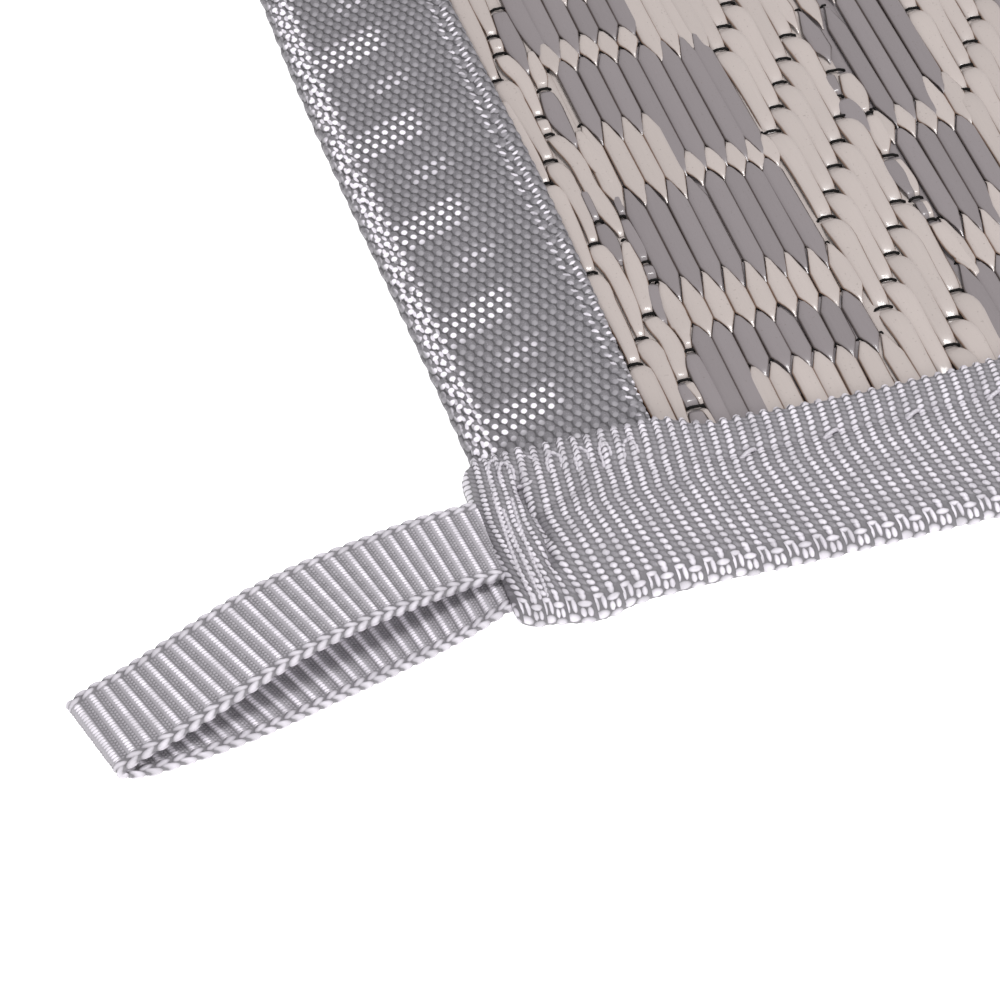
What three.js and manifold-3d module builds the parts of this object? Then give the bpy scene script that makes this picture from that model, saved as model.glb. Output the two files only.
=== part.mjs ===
// Outdoor rug: a flat mat woven from plastic straw, bound with woven tape on its four
// sides, with a loop of ribbed webbing folded in half and sewn into each corner.
// Millimetres, +Z up. X runs along the long sides, Y along the short ones, and the
// origin is the middle of the underside, on the ground.

import * as THREE from 'three';
import { mergeVertices } from 'three/addons/utils/BufferGeometryUtils.js';
import Module from 'manifold-3d';

const wasm = await Module();
wasm.setup();

// Driving sizes
const RUG = { length: 900, width: 600 };
const MAT = { thickness: 2.4, marginUnderside: 1.3, edgeInset: 2.1 };
const TAPE = { thickness: 1, height: 3.7, sideWidth: 26, frontWidth: 24.7 };
const CORNER = {
  height: 5.5,        // the doubled layers make each corner thicker
  tapeWidth: 26.4,    // the front tape is folded a little wider there
  overhang: 1.65,     // its end reaches past the side tape
  bulge: 1.5,         // and its front edge swells out beside the end
  bulgePlace: 8.5,
  raisedFor: 25,      // measured from the side of the rug
  slope: 9,
  notch: { length: 11.5, width: 25.6 },  // room for the loop's sewn ends
};
const LOOP = { width: 13.4, thickness: 0.86, rib: 0.2, ribPitch: 2.1 };
const GAP = 0.3;      // between pieces that touch on the real rug
const STATION = 13;   // between the sections of a tape, away from the corners

const COLOUR = { straw: '#b3a9a3', tape: '#8f8f94', webbing: '#98979b' };

const halfLength = RUG.length / 2;
const halfWidth = RUG.width / 2;
const smooth = THREE.MathUtils.smoothstep;

// A closed solid through rings of points that correspond, flat at both ends. Each ring
// lists its points in the same order, and endShape gives an end's outline in 2-D,
// anticlockwise.
function solidThroughRings(rings, endShape) {
  const count = rings[0].length;
  const positions = rings.flat().flatMap((point) => point.toArray());
  const faces = [];
  for (let ring = 0; ring + 1 < rings.length; ring += 1) {
    for (let i = 0; i < count; i += 1) {
      const a = ring * count + i;
      const b = ring * count + (i + 1) % count;
      faces.push(a, b, b + count, a, b + count, a + count);
    }
  }
  const lastRing = (rings.length - 1) * count;
  THREE.ShapeUtils.triangulateShape(endShape(rings[0]), []).forEach(([a, b, c]) => faces.push(c, b, a));
  THREE.ShapeUtils.triangulateShape(endShape(rings.at(-1)), [])
    .forEach(([a, b, c]) => faces.push(lastRing + a, lastRing + b, lastRing + c));
  const geometry = new THREE.BufferGeometry();
  geometry.setAttribute('position', new THREE.Float32BufferAttribute(positions, 3));
  geometry.setIndex(faces);
  return facingOut(geometry);
}

// Six times the enclosed volume is below zero when the faces point inwards.
function facingOut(geometry) {
  const points = geometry.attributes.position;
  const faces = Array.from(geometry.index.array);
  const [a, b, c] = [new THREE.Vector3(), new THREE.Vector3(), new THREE.Vector3()];
  let volume = 0;
  for (let i = 0; i < faces.length; i += 3) {
    [a, b, c].forEach((corner, j) => corner.fromBufferAttribute(points, faces[i + j]));
    volume += a.dot(b.cross(c));
  }
  if (volume < 0) faces.reverse();
  geometry.setIndex(faces);
  return geometry;
}

function toManifold(geometry) {
  const bare = geometry.clone();
  bare.deleteAttribute('normal');
  bare.deleteAttribute('uv');
  const merged = mergeVertices(bare, 1e-4);
  return new wasm.Manifold(new wasm.Mesh({
    numProp: 3,
    vertProperties: new Float32Array(merged.attributes.position.array),
    triVerts: new Uint32Array(merged.index.array),
  }));
}

function fromManifold(solid) {
  const { vertProperties, triVerts } = solid.getMesh();
  const geometry = new THREE.BufferGeometry();
  geometry.setAttribute('position', new THREE.BufferAttribute(vertProperties, 3));
  geometry.setIndex(new THREE.BufferAttribute(triVerts, 1));
  return geometry;
}

// A box from its lowest and highest corners.
function block(low, high) {
  const size = new THREE.Vector3(...high).sub(new THREE.Vector3(...low));
  const middle = new THREE.Vector3(...low).addScaledVector(size, 0.5);
  return new THREE.BoxGeometry(...size).translate(...middle);
}

// The mat: one slab, stepped up at its edge, where it sits inside the tape, and cut
// back at the corners, where the loops are sewn in.
function buildMat() {
  const plate = (insetX, insetY, low, high) => toManifold(block(
    [insetX - halfLength, insetY - halfWidth, low],
    [halfLength - insetX, halfWidth - insetY, high],
  ));
  const margin = plate(MAT.edgeInset, MAT.edgeInset, MAT.marginUnderside, MAT.thickness);
  const field = plate(TAPE.sideWidth + 1, CORNER.tapeWidth + 1, 0, MAT.thickness);
  let mat = margin.add(field);
  for (const [x, y] of [[-1, -1], [1, -1], [-1, 1], [1, 1]]) {
    const inner = [halfLength - CORNER.notch.length, halfWidth - CORNER.notch.width];
    const notch = block([inner[0], inner[1], -1], [halfLength, halfWidth, MAT.thickness + 1]);
    mat = mat.subtract(toManifold(facingOut(notch.scale(x, y, 1))));
  }
  return fromManifold(mat);
}

// The hand-sewn edges wander. The side tape swings in long waves, and each tape also
// puckers where its stitches pull.
const waves = {
  sideOuter: (along) => -0.95 * Math.sin((along - 66) * 2 * Math.PI / 175),
  sideInner: (along) => 0.5 * Math.sin((along - 45) * 2 * Math.PI / 110),
  frontOuter: (along) => 0.35 * Math.sin(along * 2 * Math.PI / 83) + 0.2 * Math.sin(along * 2 * Math.PI / 47),
  frontInner: (along) => 0.45 * Math.sin((along - 12) * 2 * Math.PI / 64),
  pucker: (along) => 0.14 * Math.sin(along * 2 * Math.PI / 39) + 0.08 * Math.sin(along * 2 * Math.PI / 71),
};

// The outline of a folded tape: "across" is the distance in from the rug's edge,
// "up" the height. The upper layer dips along its row of stitches.
function tapeSection({ outer, inner, lowerInner, top, pucker, stitch, dip }) {
  const layer = TAPE.thickness;
  return [
    [lowerInner, layer],
    [inner, top - layer],
    [inner, top - 0.45],
    [inner - 0.7, top - 0.05],
    [stitch + 1.6, top],
    [stitch, top - dip],
    [stitch - 1.6, top],
    [outer + (stitch - outer) * 0.55, top + pucker],
    [outer + 1.9, top],
    [outer + 0.45, top * 0.8],
    [outer, top * 0.5],
    [outer + 0.35, top * 0.22],
    [outer + 1.9, 0],
    [lowerInner, 0],
  ];
}

// Places for the sections of a tape, close together at its two ends.
function stationsAlong(length, fromEnd) {
  const half = length / 2;
  const middle = half - fromEnd.at(-1);
  const steps = Math.round(2 * middle / STATION);
  const between = Array.from({ length: steps - 1 }, (_, i) => -middle + (i + 1) * 2 * middle / steps);
  const low = fromEnd.map((place) => place - half);
  return [...low, ...between, ...low.map((place) => -place).reverse()];
}

// The tape along a long side covers the corners: it is thicker and a little wider there,
// and hollow where the mat's margin, the side tape and the loop's ends go in.
function buildFrontTape() {
  const end = halfLength + CORNER.overhang;
  const places = stationsAlong(2 * end, [0, 0.8, 2.4, 4.5, 7, 10, 13, 17, 22, 26.6, 29, 32, 35.6, 41, 48, 58]);
  const rings = places.map((x) => {
    const fromSide = halfLength - Math.abs(x);
    const raised = 1 - smooth(fromSide, CORNER.raisedFor, CORNER.raisedFor + CORNER.slope);
    const tip = smooth(fromSide, -CORNER.overhang, 0.9);
    const along = x + halfLength;
    const swell = CORNER.bulge * Math.exp(-(((fromSide - CORNER.bulgePlace) / 4.6) ** 2));
    return tapeSection({
      outer: waves.frontOuter(along) * (1 - raised) - swell + 1.1 * (1 - tip),
      inner: THREE.MathUtils.lerp(TAPE.frontWidth + waves.frontInner(along), CORNER.tapeWidth, raised)
        - 1.2 * (1 - tip),
      lowerInner: TAPE.frontWidth,
      top: THREE.MathUtils.lerp(TAPE.height, CORNER.height, raised) - 0.5 * (1 - tip),
      pucker: waves.pucker(along),
      stitch: 18.6,
      dip: 0.3 * (1 - raised),
    }).map(([across, up]) => new THREE.Vector3(x, across - halfWidth, up));
  });
  let tape = toManifold(solidThroughRings(rings, (ring) => ring.map(({ y, z }) => new THREE.Vector2(y, z))));
  const hollow = (low, high) => {
    tape = tape.subtract(toManifold(block(low, high)));
  };
  const beyond = halfWidth - 40;
  const fold = MAT.edgeInset - GAP;
  const underTop = TAPE.height - TAPE.thickness;
  const underCorner = CORNER.height - TAPE.thickness;
  hollow([-end + 2.1, fold - halfWidth, TAPE.thickness], [end - 2.1, -beyond, underTop]);
  for (const side of [-1, 1]) {
    const box = (near, far, low, high, y0, y1) => hollow(
      [Math.min(side * near, side * far), y0 - halfWidth, low],
      [Math.max(side * near, side * far), y1 - halfWidth, high],
    );
    box(halfLength - TAPE.sideWidth - 1, end - 2.1, TAPE.thickness, underCorner, fold, 40);
    box(halfLength - CORNER.notch.length, end + 2, TAPE.thickness, underCorner, 2.6, 24.2);
  }
  return fromManifold(tape);
}

// The tape along a short side runs between the corners.
function buildSideTape() {
  const length = RUG.width - 2 * (CORNER.tapeWidth + 0.9);
  const places = stationsAlong(length, [0, 6, 14]);
  const rings = places.map((place) => {
    const along = place + halfWidth;
    return tapeSection({
      outer: waves.sideOuter(along),
      inner: TAPE.sideWidth + waves.sideInner(along),
      lowerInner: TAPE.sideWidth - 0.8,
      top: TAPE.height,
      pucker: waves.pucker(along + 20),
      stitch: 21.5,
      dip: 0.12,
    }).map(([across, up]) => new THREE.Vector3(across - halfLength, place, up));
  });
  const tape = toManifold(solidThroughRings(rings, (ring) => ring.map(({ x, z }) => new THREE.Vector2(x, z))));
  const fold = MAT.edgeInset - GAP;
  const hollow = block(
    [fold - halfLength, -halfWidth, TAPE.thickness],
    [40 - halfLength, halfWidth, TAPE.height - TAPE.thickness],
  );
  return fromManifold(tape.subtract(toManifold(hollow)));
}

// The middle line of the webbing, from its upper sewn end over the arch to the fold and
// back along the ground. "out" is the distance from the rug's side, "along" the distance
// from its front edge, "high" the height, "turn" how far the ribs have turned, in degrees.
const webbing = [
  { out: -8, along: 15.2, high: 3.52, turn: 6 },
  { out: 1.2, along: 14.2, high: 3.56, turn: 6 },
  { out: 8, along: 13.2, high: 4.4, turn: 8 },
  { out: 17, along: 10.5, high: 6.05, turn: 13 },
  { out: 25, along: 8.1, high: 7.15, turn: 19 },
  { out: 33, along: 5.7, high: 7.15, turn: 22 },
  { out: 42, along: 2.9, high: 5.75, turn: 23 },
  { out: 50, along: 0.8, high: 3.9, turn: 19 },
  { out: 55.2, along: -0.4, high: 3.05, turn: 16 },
  { out: 57.4, along: -0.9, high: 1.85, turn: 16 },
  { out: 55, along: -1, high: 0.8, turn: 17 },
  { out: 49, along: -0.8, high: 0.7, turn: 21 },
  { out: 40, along: 0.4, high: 0.7, turn: 24 },
  { out: 28, along: 3.3, high: 0.7, turn: 20 },
  { out: 14, along: 6.9, high: 0.7, turn: 10 },
  { out: 8, along: 8.6, high: 0.85, turn: 7 },
  { out: 3, along: 10, high: 1.78, turn: 6 },
  { out: -1, along: 11.1, high: 1.95, turn: 6 },
  { out: -8, along: 13.2, high: 1.95, turn: 6 },
];

// A loop at the corner given by two signs: ribs cross the webbing and stand out on both
// faces, so each rib has a section at its crest and one at each side's hollow.
function buildLoop(signX, signY) {
  const line = new THREE.CatmullRomCurve3(webbing.map(({ out, along, high }) => new THREE.Vector3(
    -out - halfLength, along - halfWidth, high,
  )));
  const turns = new THREE.CatmullRomCurve3(webbing.map(({ turn }) => new THREE.Vector3(turn, 0, 0)));
  const ribs = Math.round(line.getLength() / LOOP.ribPitch);
  const sections = 2 * ribs;
  const rings = Array.from({ length: sections + 1 }, (_, i) => {
    const part = i / sections;
    const t = line.getUtoTmapping(part);
    const middle = line.getPoint(t);
    const turn = THREE.MathUtils.degToRad(turns.getPoint(t).x);
    const sideways = new THREE.Vector3(-Math.sin(turn), Math.cos(turn), 0);
    const outwards = line.getTangent(t).cross(sideways).normalize();
    const half = (LOOP.thickness / 2) + (i % 2) * LOOP.rib;
    const edge = LOOP.width / 2;
    return [
      [-edge, 0], [0.9 - edge, -half], [edge - 0.9, -half],
      [edge, 0], [edge - 0.9, half], [0.9 - edge, half],
    ].map(([across, up]) => middle.clone().addScaledVector(sideways, across).addScaledVector(outwards, up));
  });
  const hexagon = [[-2, 0], [-1, -1], [1, -1], [2, 0], [1, 1], [-1, 1]].map(([x, y]) => new THREE.Vector2(x, y));
  return facingOut(solidThroughRings(rings, () => hexagon).scale(-signX, -signY, 1));
}

function piece(name, geometry, colour, roughness) {
  const material = new THREE.MeshStandardMaterial({ color: colour, roughness, metalness: 0 });
  const mesh = new THREE.Mesh(geometry, material);
  mesh.name = name;
  return mesh;
}

const rug = new THREE.Group();
rug.add(piece('mat', buildMat(), COLOUR.straw, 0.45));

const frontTape = buildFrontTape();
const sideTape = buildSideTape();
const tapes = [
  ['binding_front', frontTape, 0],
  ['binding_back', frontTape, Math.PI],
  ['binding_left', sideTape, 0],
  ['binding_right', sideTape, Math.PI],
];
for (const [name, geometry, turn] of tapes) {
  const tape = piece(name, geometry, COLOUR.tape, 0.6);
  tape.rotation.z = turn;
  rug.add(tape);
}

const corners = [
  ['loop_front_left', -1, -1],
  ['loop_front_right', 1, -1],
  ['loop_back_left', -1, 1],
  ['loop_back_right', 1, 1],
];
for (const [name, signX, signY] of corners) {
  rug.add(piece(name, buildLoop(signX, signY), COLOUR.webbing, 0.55));
}

export default rug;
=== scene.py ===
# %% [markdown]
# # A woven outdoor rug, seen close at one corner
# The rug is a flat mat of plastic straw, bound with woven tape on its four sides, with a loop of
# ribbed webbing sewn into each corner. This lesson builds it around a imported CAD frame. The frame
# gives every size that matters, so the lesson starts by loading it and reading its boxes.
# Lengths here are in millimetres, as on a maker's drawing, and become metres in the meshes.

# %% Load the frame
import math

import bpy
import mathutils
import numpy as np
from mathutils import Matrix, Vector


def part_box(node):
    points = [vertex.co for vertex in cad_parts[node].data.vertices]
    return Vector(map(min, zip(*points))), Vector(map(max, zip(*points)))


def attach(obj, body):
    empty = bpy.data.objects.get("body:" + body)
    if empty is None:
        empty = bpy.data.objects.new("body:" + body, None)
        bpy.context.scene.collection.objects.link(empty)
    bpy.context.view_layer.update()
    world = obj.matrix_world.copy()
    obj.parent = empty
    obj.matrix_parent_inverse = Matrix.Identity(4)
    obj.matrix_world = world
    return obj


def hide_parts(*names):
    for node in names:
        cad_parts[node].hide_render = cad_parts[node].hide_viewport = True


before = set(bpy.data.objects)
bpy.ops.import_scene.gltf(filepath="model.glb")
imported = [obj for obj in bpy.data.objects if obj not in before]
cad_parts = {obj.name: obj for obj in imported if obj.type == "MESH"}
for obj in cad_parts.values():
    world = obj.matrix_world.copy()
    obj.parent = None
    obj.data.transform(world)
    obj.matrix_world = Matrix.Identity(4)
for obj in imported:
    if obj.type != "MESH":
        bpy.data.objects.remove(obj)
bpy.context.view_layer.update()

MM = 0.001                      # metres in a millimetre
random_numbers = np.random.default_rng(7)


def box_in_mm(node):
    low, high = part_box(node)
    return np.array(low) / MM, np.array(high) / MM


mat_low, mat_high = box_in_mm("mat")
front_low, front_high = box_in_mm("binding_front")
RUG_LENGTH = 900.0
RUG_WIDTH = 600.0
HALF_LENGTH = RUG_LENGTH / 2
HALF_WIDTH = RUG_WIDTH / 2
print("mat", np.round(mat_high - mat_low, 1), "front tape", np.round(front_high - front_low, 1))


def placed(name, data):
    """A new object in the scene that shows some data."""
    item = bpy.data.objects.new(name, data)
    bpy.context.scene.collection.objects.link(item)
    return item


# %% [markdown]
# The camera stands low in front of the corner with a long lens, so that the straws run away
# from it almost in parallel. Its place is in millimetres from the middle of the rug.

# %% Camera
CAMERA_PLACE = (-542.13, -574.96, 346.79)
CAMERA_HEIGHT_ANGLE = 47.9      # degrees above the ground
CAMERA_TURN = 17.7              # degrees to the right of straight along the short sides
CAMERA_LENS = 127.08            # on a sensor 36 mm wide


def make_camera():
    data = bpy.data.cameras.new("corner_camera")
    data.lens = CAMERA_LENS
    data.sensor_width = 36
    data.clip_start = 0.01
    camera = placed("corner_camera", data)
    camera.location = [value * MM for value in CAMERA_PLACE]
    camera.rotation_euler = (math.radians(90 - CAMERA_HEIGHT_ANGLE), 0, math.radians(-CAMERA_TURN))
    bpy.context.scene.camera = camera


make_camera()
print("camera", CAMERA_PLACE)

# %% [markdown]
# The studio is all white. A large soft light hangs over the rug and gives the straws their small
# bright glints, because those are slopes that face the camera and mirror what is overhead. The
# yarns' glints are painted highlights in their colour, where they are also a little less rough. The
# floor glows a little, so that it stays white right up to the rug and sends light back into the
# tape's rolled edges.

# %% Studio light and floor
WORLD_STRENGTH = 0.46
OVERHEAD_POWER = 5.6
FRONT_POWER = 3.5
CORNER_PLACE = (-430, -260, 0)
FLOOR_GLOW = 0.85
FLOOR_HALF = 6.0                # metres


def make_light(name, place, aim, size, power):
    """A rectangular softbox at a place, turned towards another place."""
    data = bpy.data.lights.new(name, "AREA")
    data.shape = "RECTANGLE"
    data.size = size[0] * MM
    data.size_y = size[1] * MM
    data.energy = power
    light = placed(name, data)
    light.location = [value * MM for value in place]
    away = mathutils.Vector(aim) - mathutils.Vector(place)
    light.rotation_euler = away.to_track_quat("-Z", "Y").to_euler()


def make_studio():
    scene = bpy.context.scene
    scene.view_settings.view_transform = "Standard"
    scene.view_settings.look = "None"
    world = bpy.data.worlds.new("white_studio")
    world.use_nodes = True
    world.node_tree.nodes["Background"].inputs["Color"].default_value = (1, 1, 1, 1)
    world.node_tree.nodes["Background"].inputs["Strength"].default_value = WORLD_STRENGTH
    scene.world = world
    make_light("overhead_softbox", (-230, -310, 900), CORNER_PLACE, (260, 320), OVERHEAD_POWER)
    make_light("front_softbox", (-620, -1150, 480), CORNER_PLACE, (700, 360), FRONT_POWER)


def make_floor():
    corners = [(x * FLOOR_HALF, y * FLOOR_HALF, 0) for x, y in ((-1, -1), (1, -1), (1, 1), (-1, 1))]
    mesh = bpy.data.meshes.new("floor")
    mesh.from_pydata(corners, [], [(0, 1, 2, 3)])
    floor = placed("floor", mesh)
    floor.location.z = -0.2 * MM
    material = bpy.data.materials.new("white_floor")
    material.use_nodes = True
    skin = material.node_tree.nodes["Principled BSDF"]
    for socket, value in (("Base Color", (0.9, 0.9, 0.9, 1)), ("Roughness", 0.9),
                          ("Emission Color", (1, 1, 1, 1)), ("Emission Strength", FLOOR_GLOW)):
        skin.inputs[socket].default_value = value
    mesh.materials.append(material)


make_studio()
make_floor()
print("overhead light", OVERHEAD_POWER, "W")

# %% [markdown]
# A material here is a graph of nodes, but its maths reads best as Python. A Wire holds one
# output socket. Adding or multiplying wires adds Math nodes, and the one method `node` adds any
# other kind, with its settings first and then the values or wires of its inputs.

# %% Shader maths in Python


class Wire:
    def __init__(self, socket):
        self.socket = socket

    def node(self, kind, settings=None, inputs=None, output=0):
        tree = self.socket.id_data
        made = tree.nodes.new(kind)
        for name, value in (settings or {}).items():
            setattr(made, name, value)
        for name, value in (inputs or {}).items():
            if isinstance(value, Wire):
                tree.links.new(value.socket, made.inputs[name])
            else:
                made.inputs[name].default_value = value
        return Wire(made.outputs[output])

    def maths(self, operation, *operands):
        return self.node("ShaderNodeMath", {"operation": operation}, dict(enumerate(operands)))

    def __add__(self, other):
        return self.maths("ADD", self, other)

    def __radd__(self, other):
        return self.maths("ADD", other, self)

    def __sub__(self, other):
        return self.maths("SUBTRACT", self, other)

    def __rsub__(self, other):
        return self.maths("SUBTRACT", other, self)

    def __mul__(self, other):
        return self.maths("MULTIPLY", self, other)

    def __rmul__(self, other):
        return self.maths("MULTIPLY", other, self)

    def __pow__(self, other):
        return self.maths("POWER", self, other)

    def __abs__(self):
        return self.maths("ABSOLUTE", self)

    def between(self, low, high):
        """0 below low and 1 above high, with a soft step from one to the other."""
        settings = {"interpolation_type": "SMOOTHSTEP"}
        return self.node("ShaderNodeMapRange", settings, {"Value": self, "From Min": low, "From Max": high})

    def mixed(self, first, second):
        """The colour first where this wire is 0, and second where it is 1."""
        return self.node("ShaderNodeMix", {"data_type": "RGBA"}, {0: self, 6: first, 7: second}, 2)

    def noise(self, scale, detail=2.0, roughness=0.5):
        inputs = {"Vector": self, "Scale": scale, "Detail": detail, "Roughness": roughness}
        return self.node("ShaderNodeTexNoise", None, inputs)

    def stretched(self, x, y, z):
        return self.node("ShaderNodeVectorMath", {"operation": "MULTIPLY"}, {0: self, 1: (x, y, z)})


# The next helpers take a wire or an array of numbers, so that one rule for a weave can give
# both the bump and colour of a finish and the real relief of a mesh.


def fraction(value):
    return value.maths("FRACT", value) if isinstance(value, Wire) else value - np.floor(value)


def cosine(value):
    return value.maths("COSINE", value) if isinstance(value, Wire) else np.cos(value)


def highest(first, second):
    return first.maths("MAXIMUM", first, second) if isinstance(first, Wire) else np.maximum(first, second)


def root(value):
    return value.maths("SQRT", value) if isinstance(value, Wire) else np.sqrt(value)


def soft_step(value, low, high):
    if isinstance(value, Wire):
        return value.between(low, high)
    t = np.clip((value - low) / (high - low), 0, 1)
    return t * t * (3 - 2 * t)


def pillow(x, y, half_x, half_y):
    """The height of a small rounded cushion: 1 at its middle, 0 at its rim and beyond."""
    return root(highest(1 - x * x * (1 / half_x**2) - y * y * (1 / half_y**2), 0.0))


def new_finish(name):
    """A material, its Principled shader, and a wire to start its graph from."""
    material = bpy.data.materials.new(name)
    material.use_nodes = True
    tree = material.node_tree
    skin = tree.nodes["Principled BSDF"]
    start = Wire(tree.nodes.new("ShaderNodeTexCoord").outputs["Object"])
    return material, skin, start


def attribute(start, name):
    return start.node("ShaderNodeAttribute", {"attribute_name": name}, None, "Fac")


def own_uv(start):
    """The piece's own map, in millimetres: as a vector, and its two parts."""
    uv = start.node("ShaderNodeUVMap", {"uv_map": "surface_mm"})
    u = uv.node("ShaderNodeSeparateXYZ", None, {0: uv})
    v = Wire(u.socket.node.outputs[1])
    return uv, u, v


def connect(skin, socket, wire):
    skin.id_data.links.new(wire.socket, skin.inputs[socket])


def srgb(red, green, blue):
    """A colour as it is seen on a screen, in the linear numbers that nodes want."""
    seen = (red, green, blue)
    return tuple(((c + 0.055) / 1.055) ** 2.4 if c > 0.04045 else c / 12.92 for c in seen) + (1.0,)


def grey(tone):
    """The cool grey of the tapes' yarn at a given tone."""
    return srgb(tone, tone * 0.976, tone * 1.014)


def set_plain(skin, **values):
    """Sets sockets that are the same all over. A socket's name is written with _ for its spaces."""
    for name, value in values.items():
        skin.inputs[name.replace("_", " ")].default_value = value


print("shader helpers ready")

# %% [markdown]
# The straw is flattened plastic tube, semi-gloss, with fine lines along it from the die. At its
# edges the tube is folded and the plastic lets the brown dark below shine through, so each straw
# is browner there. Two dyes are used, cream and taupe grey, and no two straws are quite alike.

# %% Straw finish
STRAW_PITCH = 3.1               # of the straws as they show on the rug's underside


def straw_finish(name, colour, edge_colour, shade_spread):
    material, skin, start = new_finish(name)
    across = attribute(start, "across")
    shade = attribute(start, "shade")
    streaks = start.stretched(9000, 260, 2000).noise(1.0, 3.0, 0.6)
    specks = start.noise(2600, 1.0)
    tone = 1 - shade_spread + shade * (2 * shade_spread) + (streaks - 0.5) * 0.10
    edge = abs(across).between(0.82, 0.98)
    body = edge.mixed(colour, edge_colour)
    body = body.node("ShaderNodeHueSaturation", None, {"Value": tone, "Color": body})
    speck = specks.between(0.70, 0.76) * 0.35
    body = speck.mixed(body, srgb(0.42, 0.38, 0.36))
    connect(skin, "Base Color", body)
    connect(skin, "Roughness", 0.40 + (streaks - 0.5) * 0.25)
    set_plain(skin, Specular_IOR_Level=0.4, Coat_Weight=0.6, Coat_Roughness=0.13)
    bump = start.node("ShaderNodeBump", None, {"Strength": 0.22, "Distance": 0.0001, "Height": streaks})
    connect(skin, "Normal", bump)
    return material


def thread_finish():
    material, skin, start = new_finish("black_thread")
    tone = start.noise(3000, 2.0)
    connect(skin, "Base Color", tone.mixed(srgb(0.03, 0.027, 0.027), srgb(0.09, 0.08, 0.08)))
    connect(skin, "Roughness", 0.75 + tone * 0.2)
    set_plain(skin, Specular_IOR_Level=0.2)
    return material


def ground_finish():
    """The dark warp and the backs of the straws: dark on top, with painted shade for the depth of the gaps,
    and straw backs from below.
    """
    material, skin, start = new_finish("woven_ground")
    split = start.node("ShaderNodeSeparateXYZ", None, {0: start})
    across = fraction(split * (1 / (STRAW_PITCH * MM)))
    straw = 1 - abs(across * 2 - 1) ** 4
    tone = start.stretched(300, 30, 300).noise(1.0, 2.0)
    back = tone.mixed(srgb(0.55, 0.51, 0.49), srgb(0.72, 0.68, 0.64))
    height = Wire(split.socket.node.outputs[2])
    below = 1 - height.between(0.5 * MM, 1.0 * MM)
    show = below * straw
    # Dark on top: the warp's own dark colour and painted shade for the depth of the gaps between straws.
    connect(skin, "Base Color", show.mixed(srgb(0.10, 0.07, 0.055), back))
    connect(skin, "Roughness", 0.55 + tone * 0.15)
    bump = start.node("ShaderNodeBump", None, {"Strength": 0.8, "Distance": 0.0006, "Height": straw})
    connect(skin, "Normal", bump)
    return material


CREAM = srgb(0.711, 0.670, 0.654)
CREAM_EDGE = srgb(0.42, 0.32, 0.255)
GREY = srgb(0.518, 0.489, 0.497)
GREY_EDGE = srgb(0.26, 0.215, 0.20)
cream_straw = straw_finish("cream_straw", CREAM, CREAM_EDGE, 0.05)
grey_straw = straw_finish("grey_straw", GREY, GREY_EDGE, 0.06)
black_thread = thread_finish()
woven_ground = ground_finish()
print("straw finishes", cream_straw.name, grey_straw.name)

# %% [markdown]
# The weave is charted as a weaver draws it. Rows of black thread cross the straws every
# 4.83 mm. Where a straw passes over rows it shows as a float. Two kinds of stripe alternate
# across the rug: twill, where each cream straw is tied down every fourth row, one row further up
# on each next straw, and blocks, where pairs of a grey and a cream straw trade places, so that
# long grey floats and short cream ones make steps. Chart places are measured from the rug's
# corner as the camera sees it at the straws' height, hence the small shift.

# %% Chart helpers
ROW_PITCH = 4.83
FIRST_ROW = 31.0
CHART_SHIFT = (-0.15, -0.7)
REPEAT_ROWS = 18
FIELD_FRONT = 23.0
NEAR_ACROSS = 108.0             # straws inside these limits are made finely
NEAR_ALONG = 140.0
CREAM_STRAW, GREY_STRAW = 0, 1


def row_place(row):
    return FIRST_ROW + ROW_PITCH * row


def hermite(start, end, rise_start, rise_end, t):
    """The smooth curve from start to end that leaves and arrives with the given rises."""
    return (start * (2 * t**3 - 3 * t**2 + 1) + rise_start * (t**3 - 2 * t**2 + t)
            + end * (3 * t**2 - 2 * t**3) + rise_end * (t**3 - t**2))


def curve_through(places, values, wanted):
    """A smooth curve through the given values, read at the wanted places."""
    places, values, wanted = (np.asarray(a, float) for a in (places, values, wanted))
    slopes = np.gradient(values, places)
    index = np.clip(np.searchsorted(places, wanted) - 1, 0, len(places) - 2)
    step = places[index + 1] - places[index]
    t = (wanted - places[index]) / step
    return hermite(values[index], values[index + 1], slopes[index] * step, slopes[index + 1] * step, t)


floats = []                     # straw lengths that show, each a small dictionary
ties = []                       # places where black thread shows


def add_float(kind, colour, low, high, half_width, **more):
    """A float of one kind between two places on the chart."""
    floats.append(dict(kind=kind, colour=colour, low=low, high=high, half=half_width, **more))


def add_drawn(colour, *places):
    """A float of its own shape: its places from the top down, each with its half width."""
    add_float("drawn", colour, places[-1][:2], places[0][:2], places[-1][2], places=places)


def add_tie(x, y, width, slant=-0.06):
    ties.append((x, y, width, slant))


# %% Twill stripes
TWILL_ROWS = 4                  # from one tie of a straw to its next
TWILL_HALF = 1.42
TWILL_TIE = 2.35
DRIFT_MIDDLE, DRIFT_HALF = 69, 9.5      # the stripe that leans, across
DRIFT_START, DRIFT_FULL, DRIFT_END = 55, 125, 260       # and along
DRIFT = -1.08                   # sideways in the rows from one tie to the next


def corner_drift(x, y):
    """Near the corner the second twill stripe leans, as the weave there was pulled askew."""
    stripe = math.exp(-(((x - DRIFT_MIDDLE) / DRIFT_HALF) ** 4))
    leaning = min(y, DRIFT_FULL) - DRIFT_START
    return DRIFT * stripe * leaning / (TWILL_ROWS * ROW_PITCH) if y < DRIFT_END else 0.0


def twill_straw(x, first_tie, last_row):
    """One cream straw, tied down at every fourth row."""
    row = first_tie - TWILL_ROWS
    while row < last_row:
        y_low, y_high = row_place(row), row_place(row + TWILL_ROWS)
        x_low = x + corner_drift(x, y_low)
        x_high = x + corner_drift(x, y_high)
        if y_high > FIELD_FRONT:
            add_float("twill", CREAM_STRAW, (x_low, y_low), (x_high, y_high), TWILL_HALF)
            add_tie(x_high, y_high, TWILL_TIE)
        row += TWILL_ROWS


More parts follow.
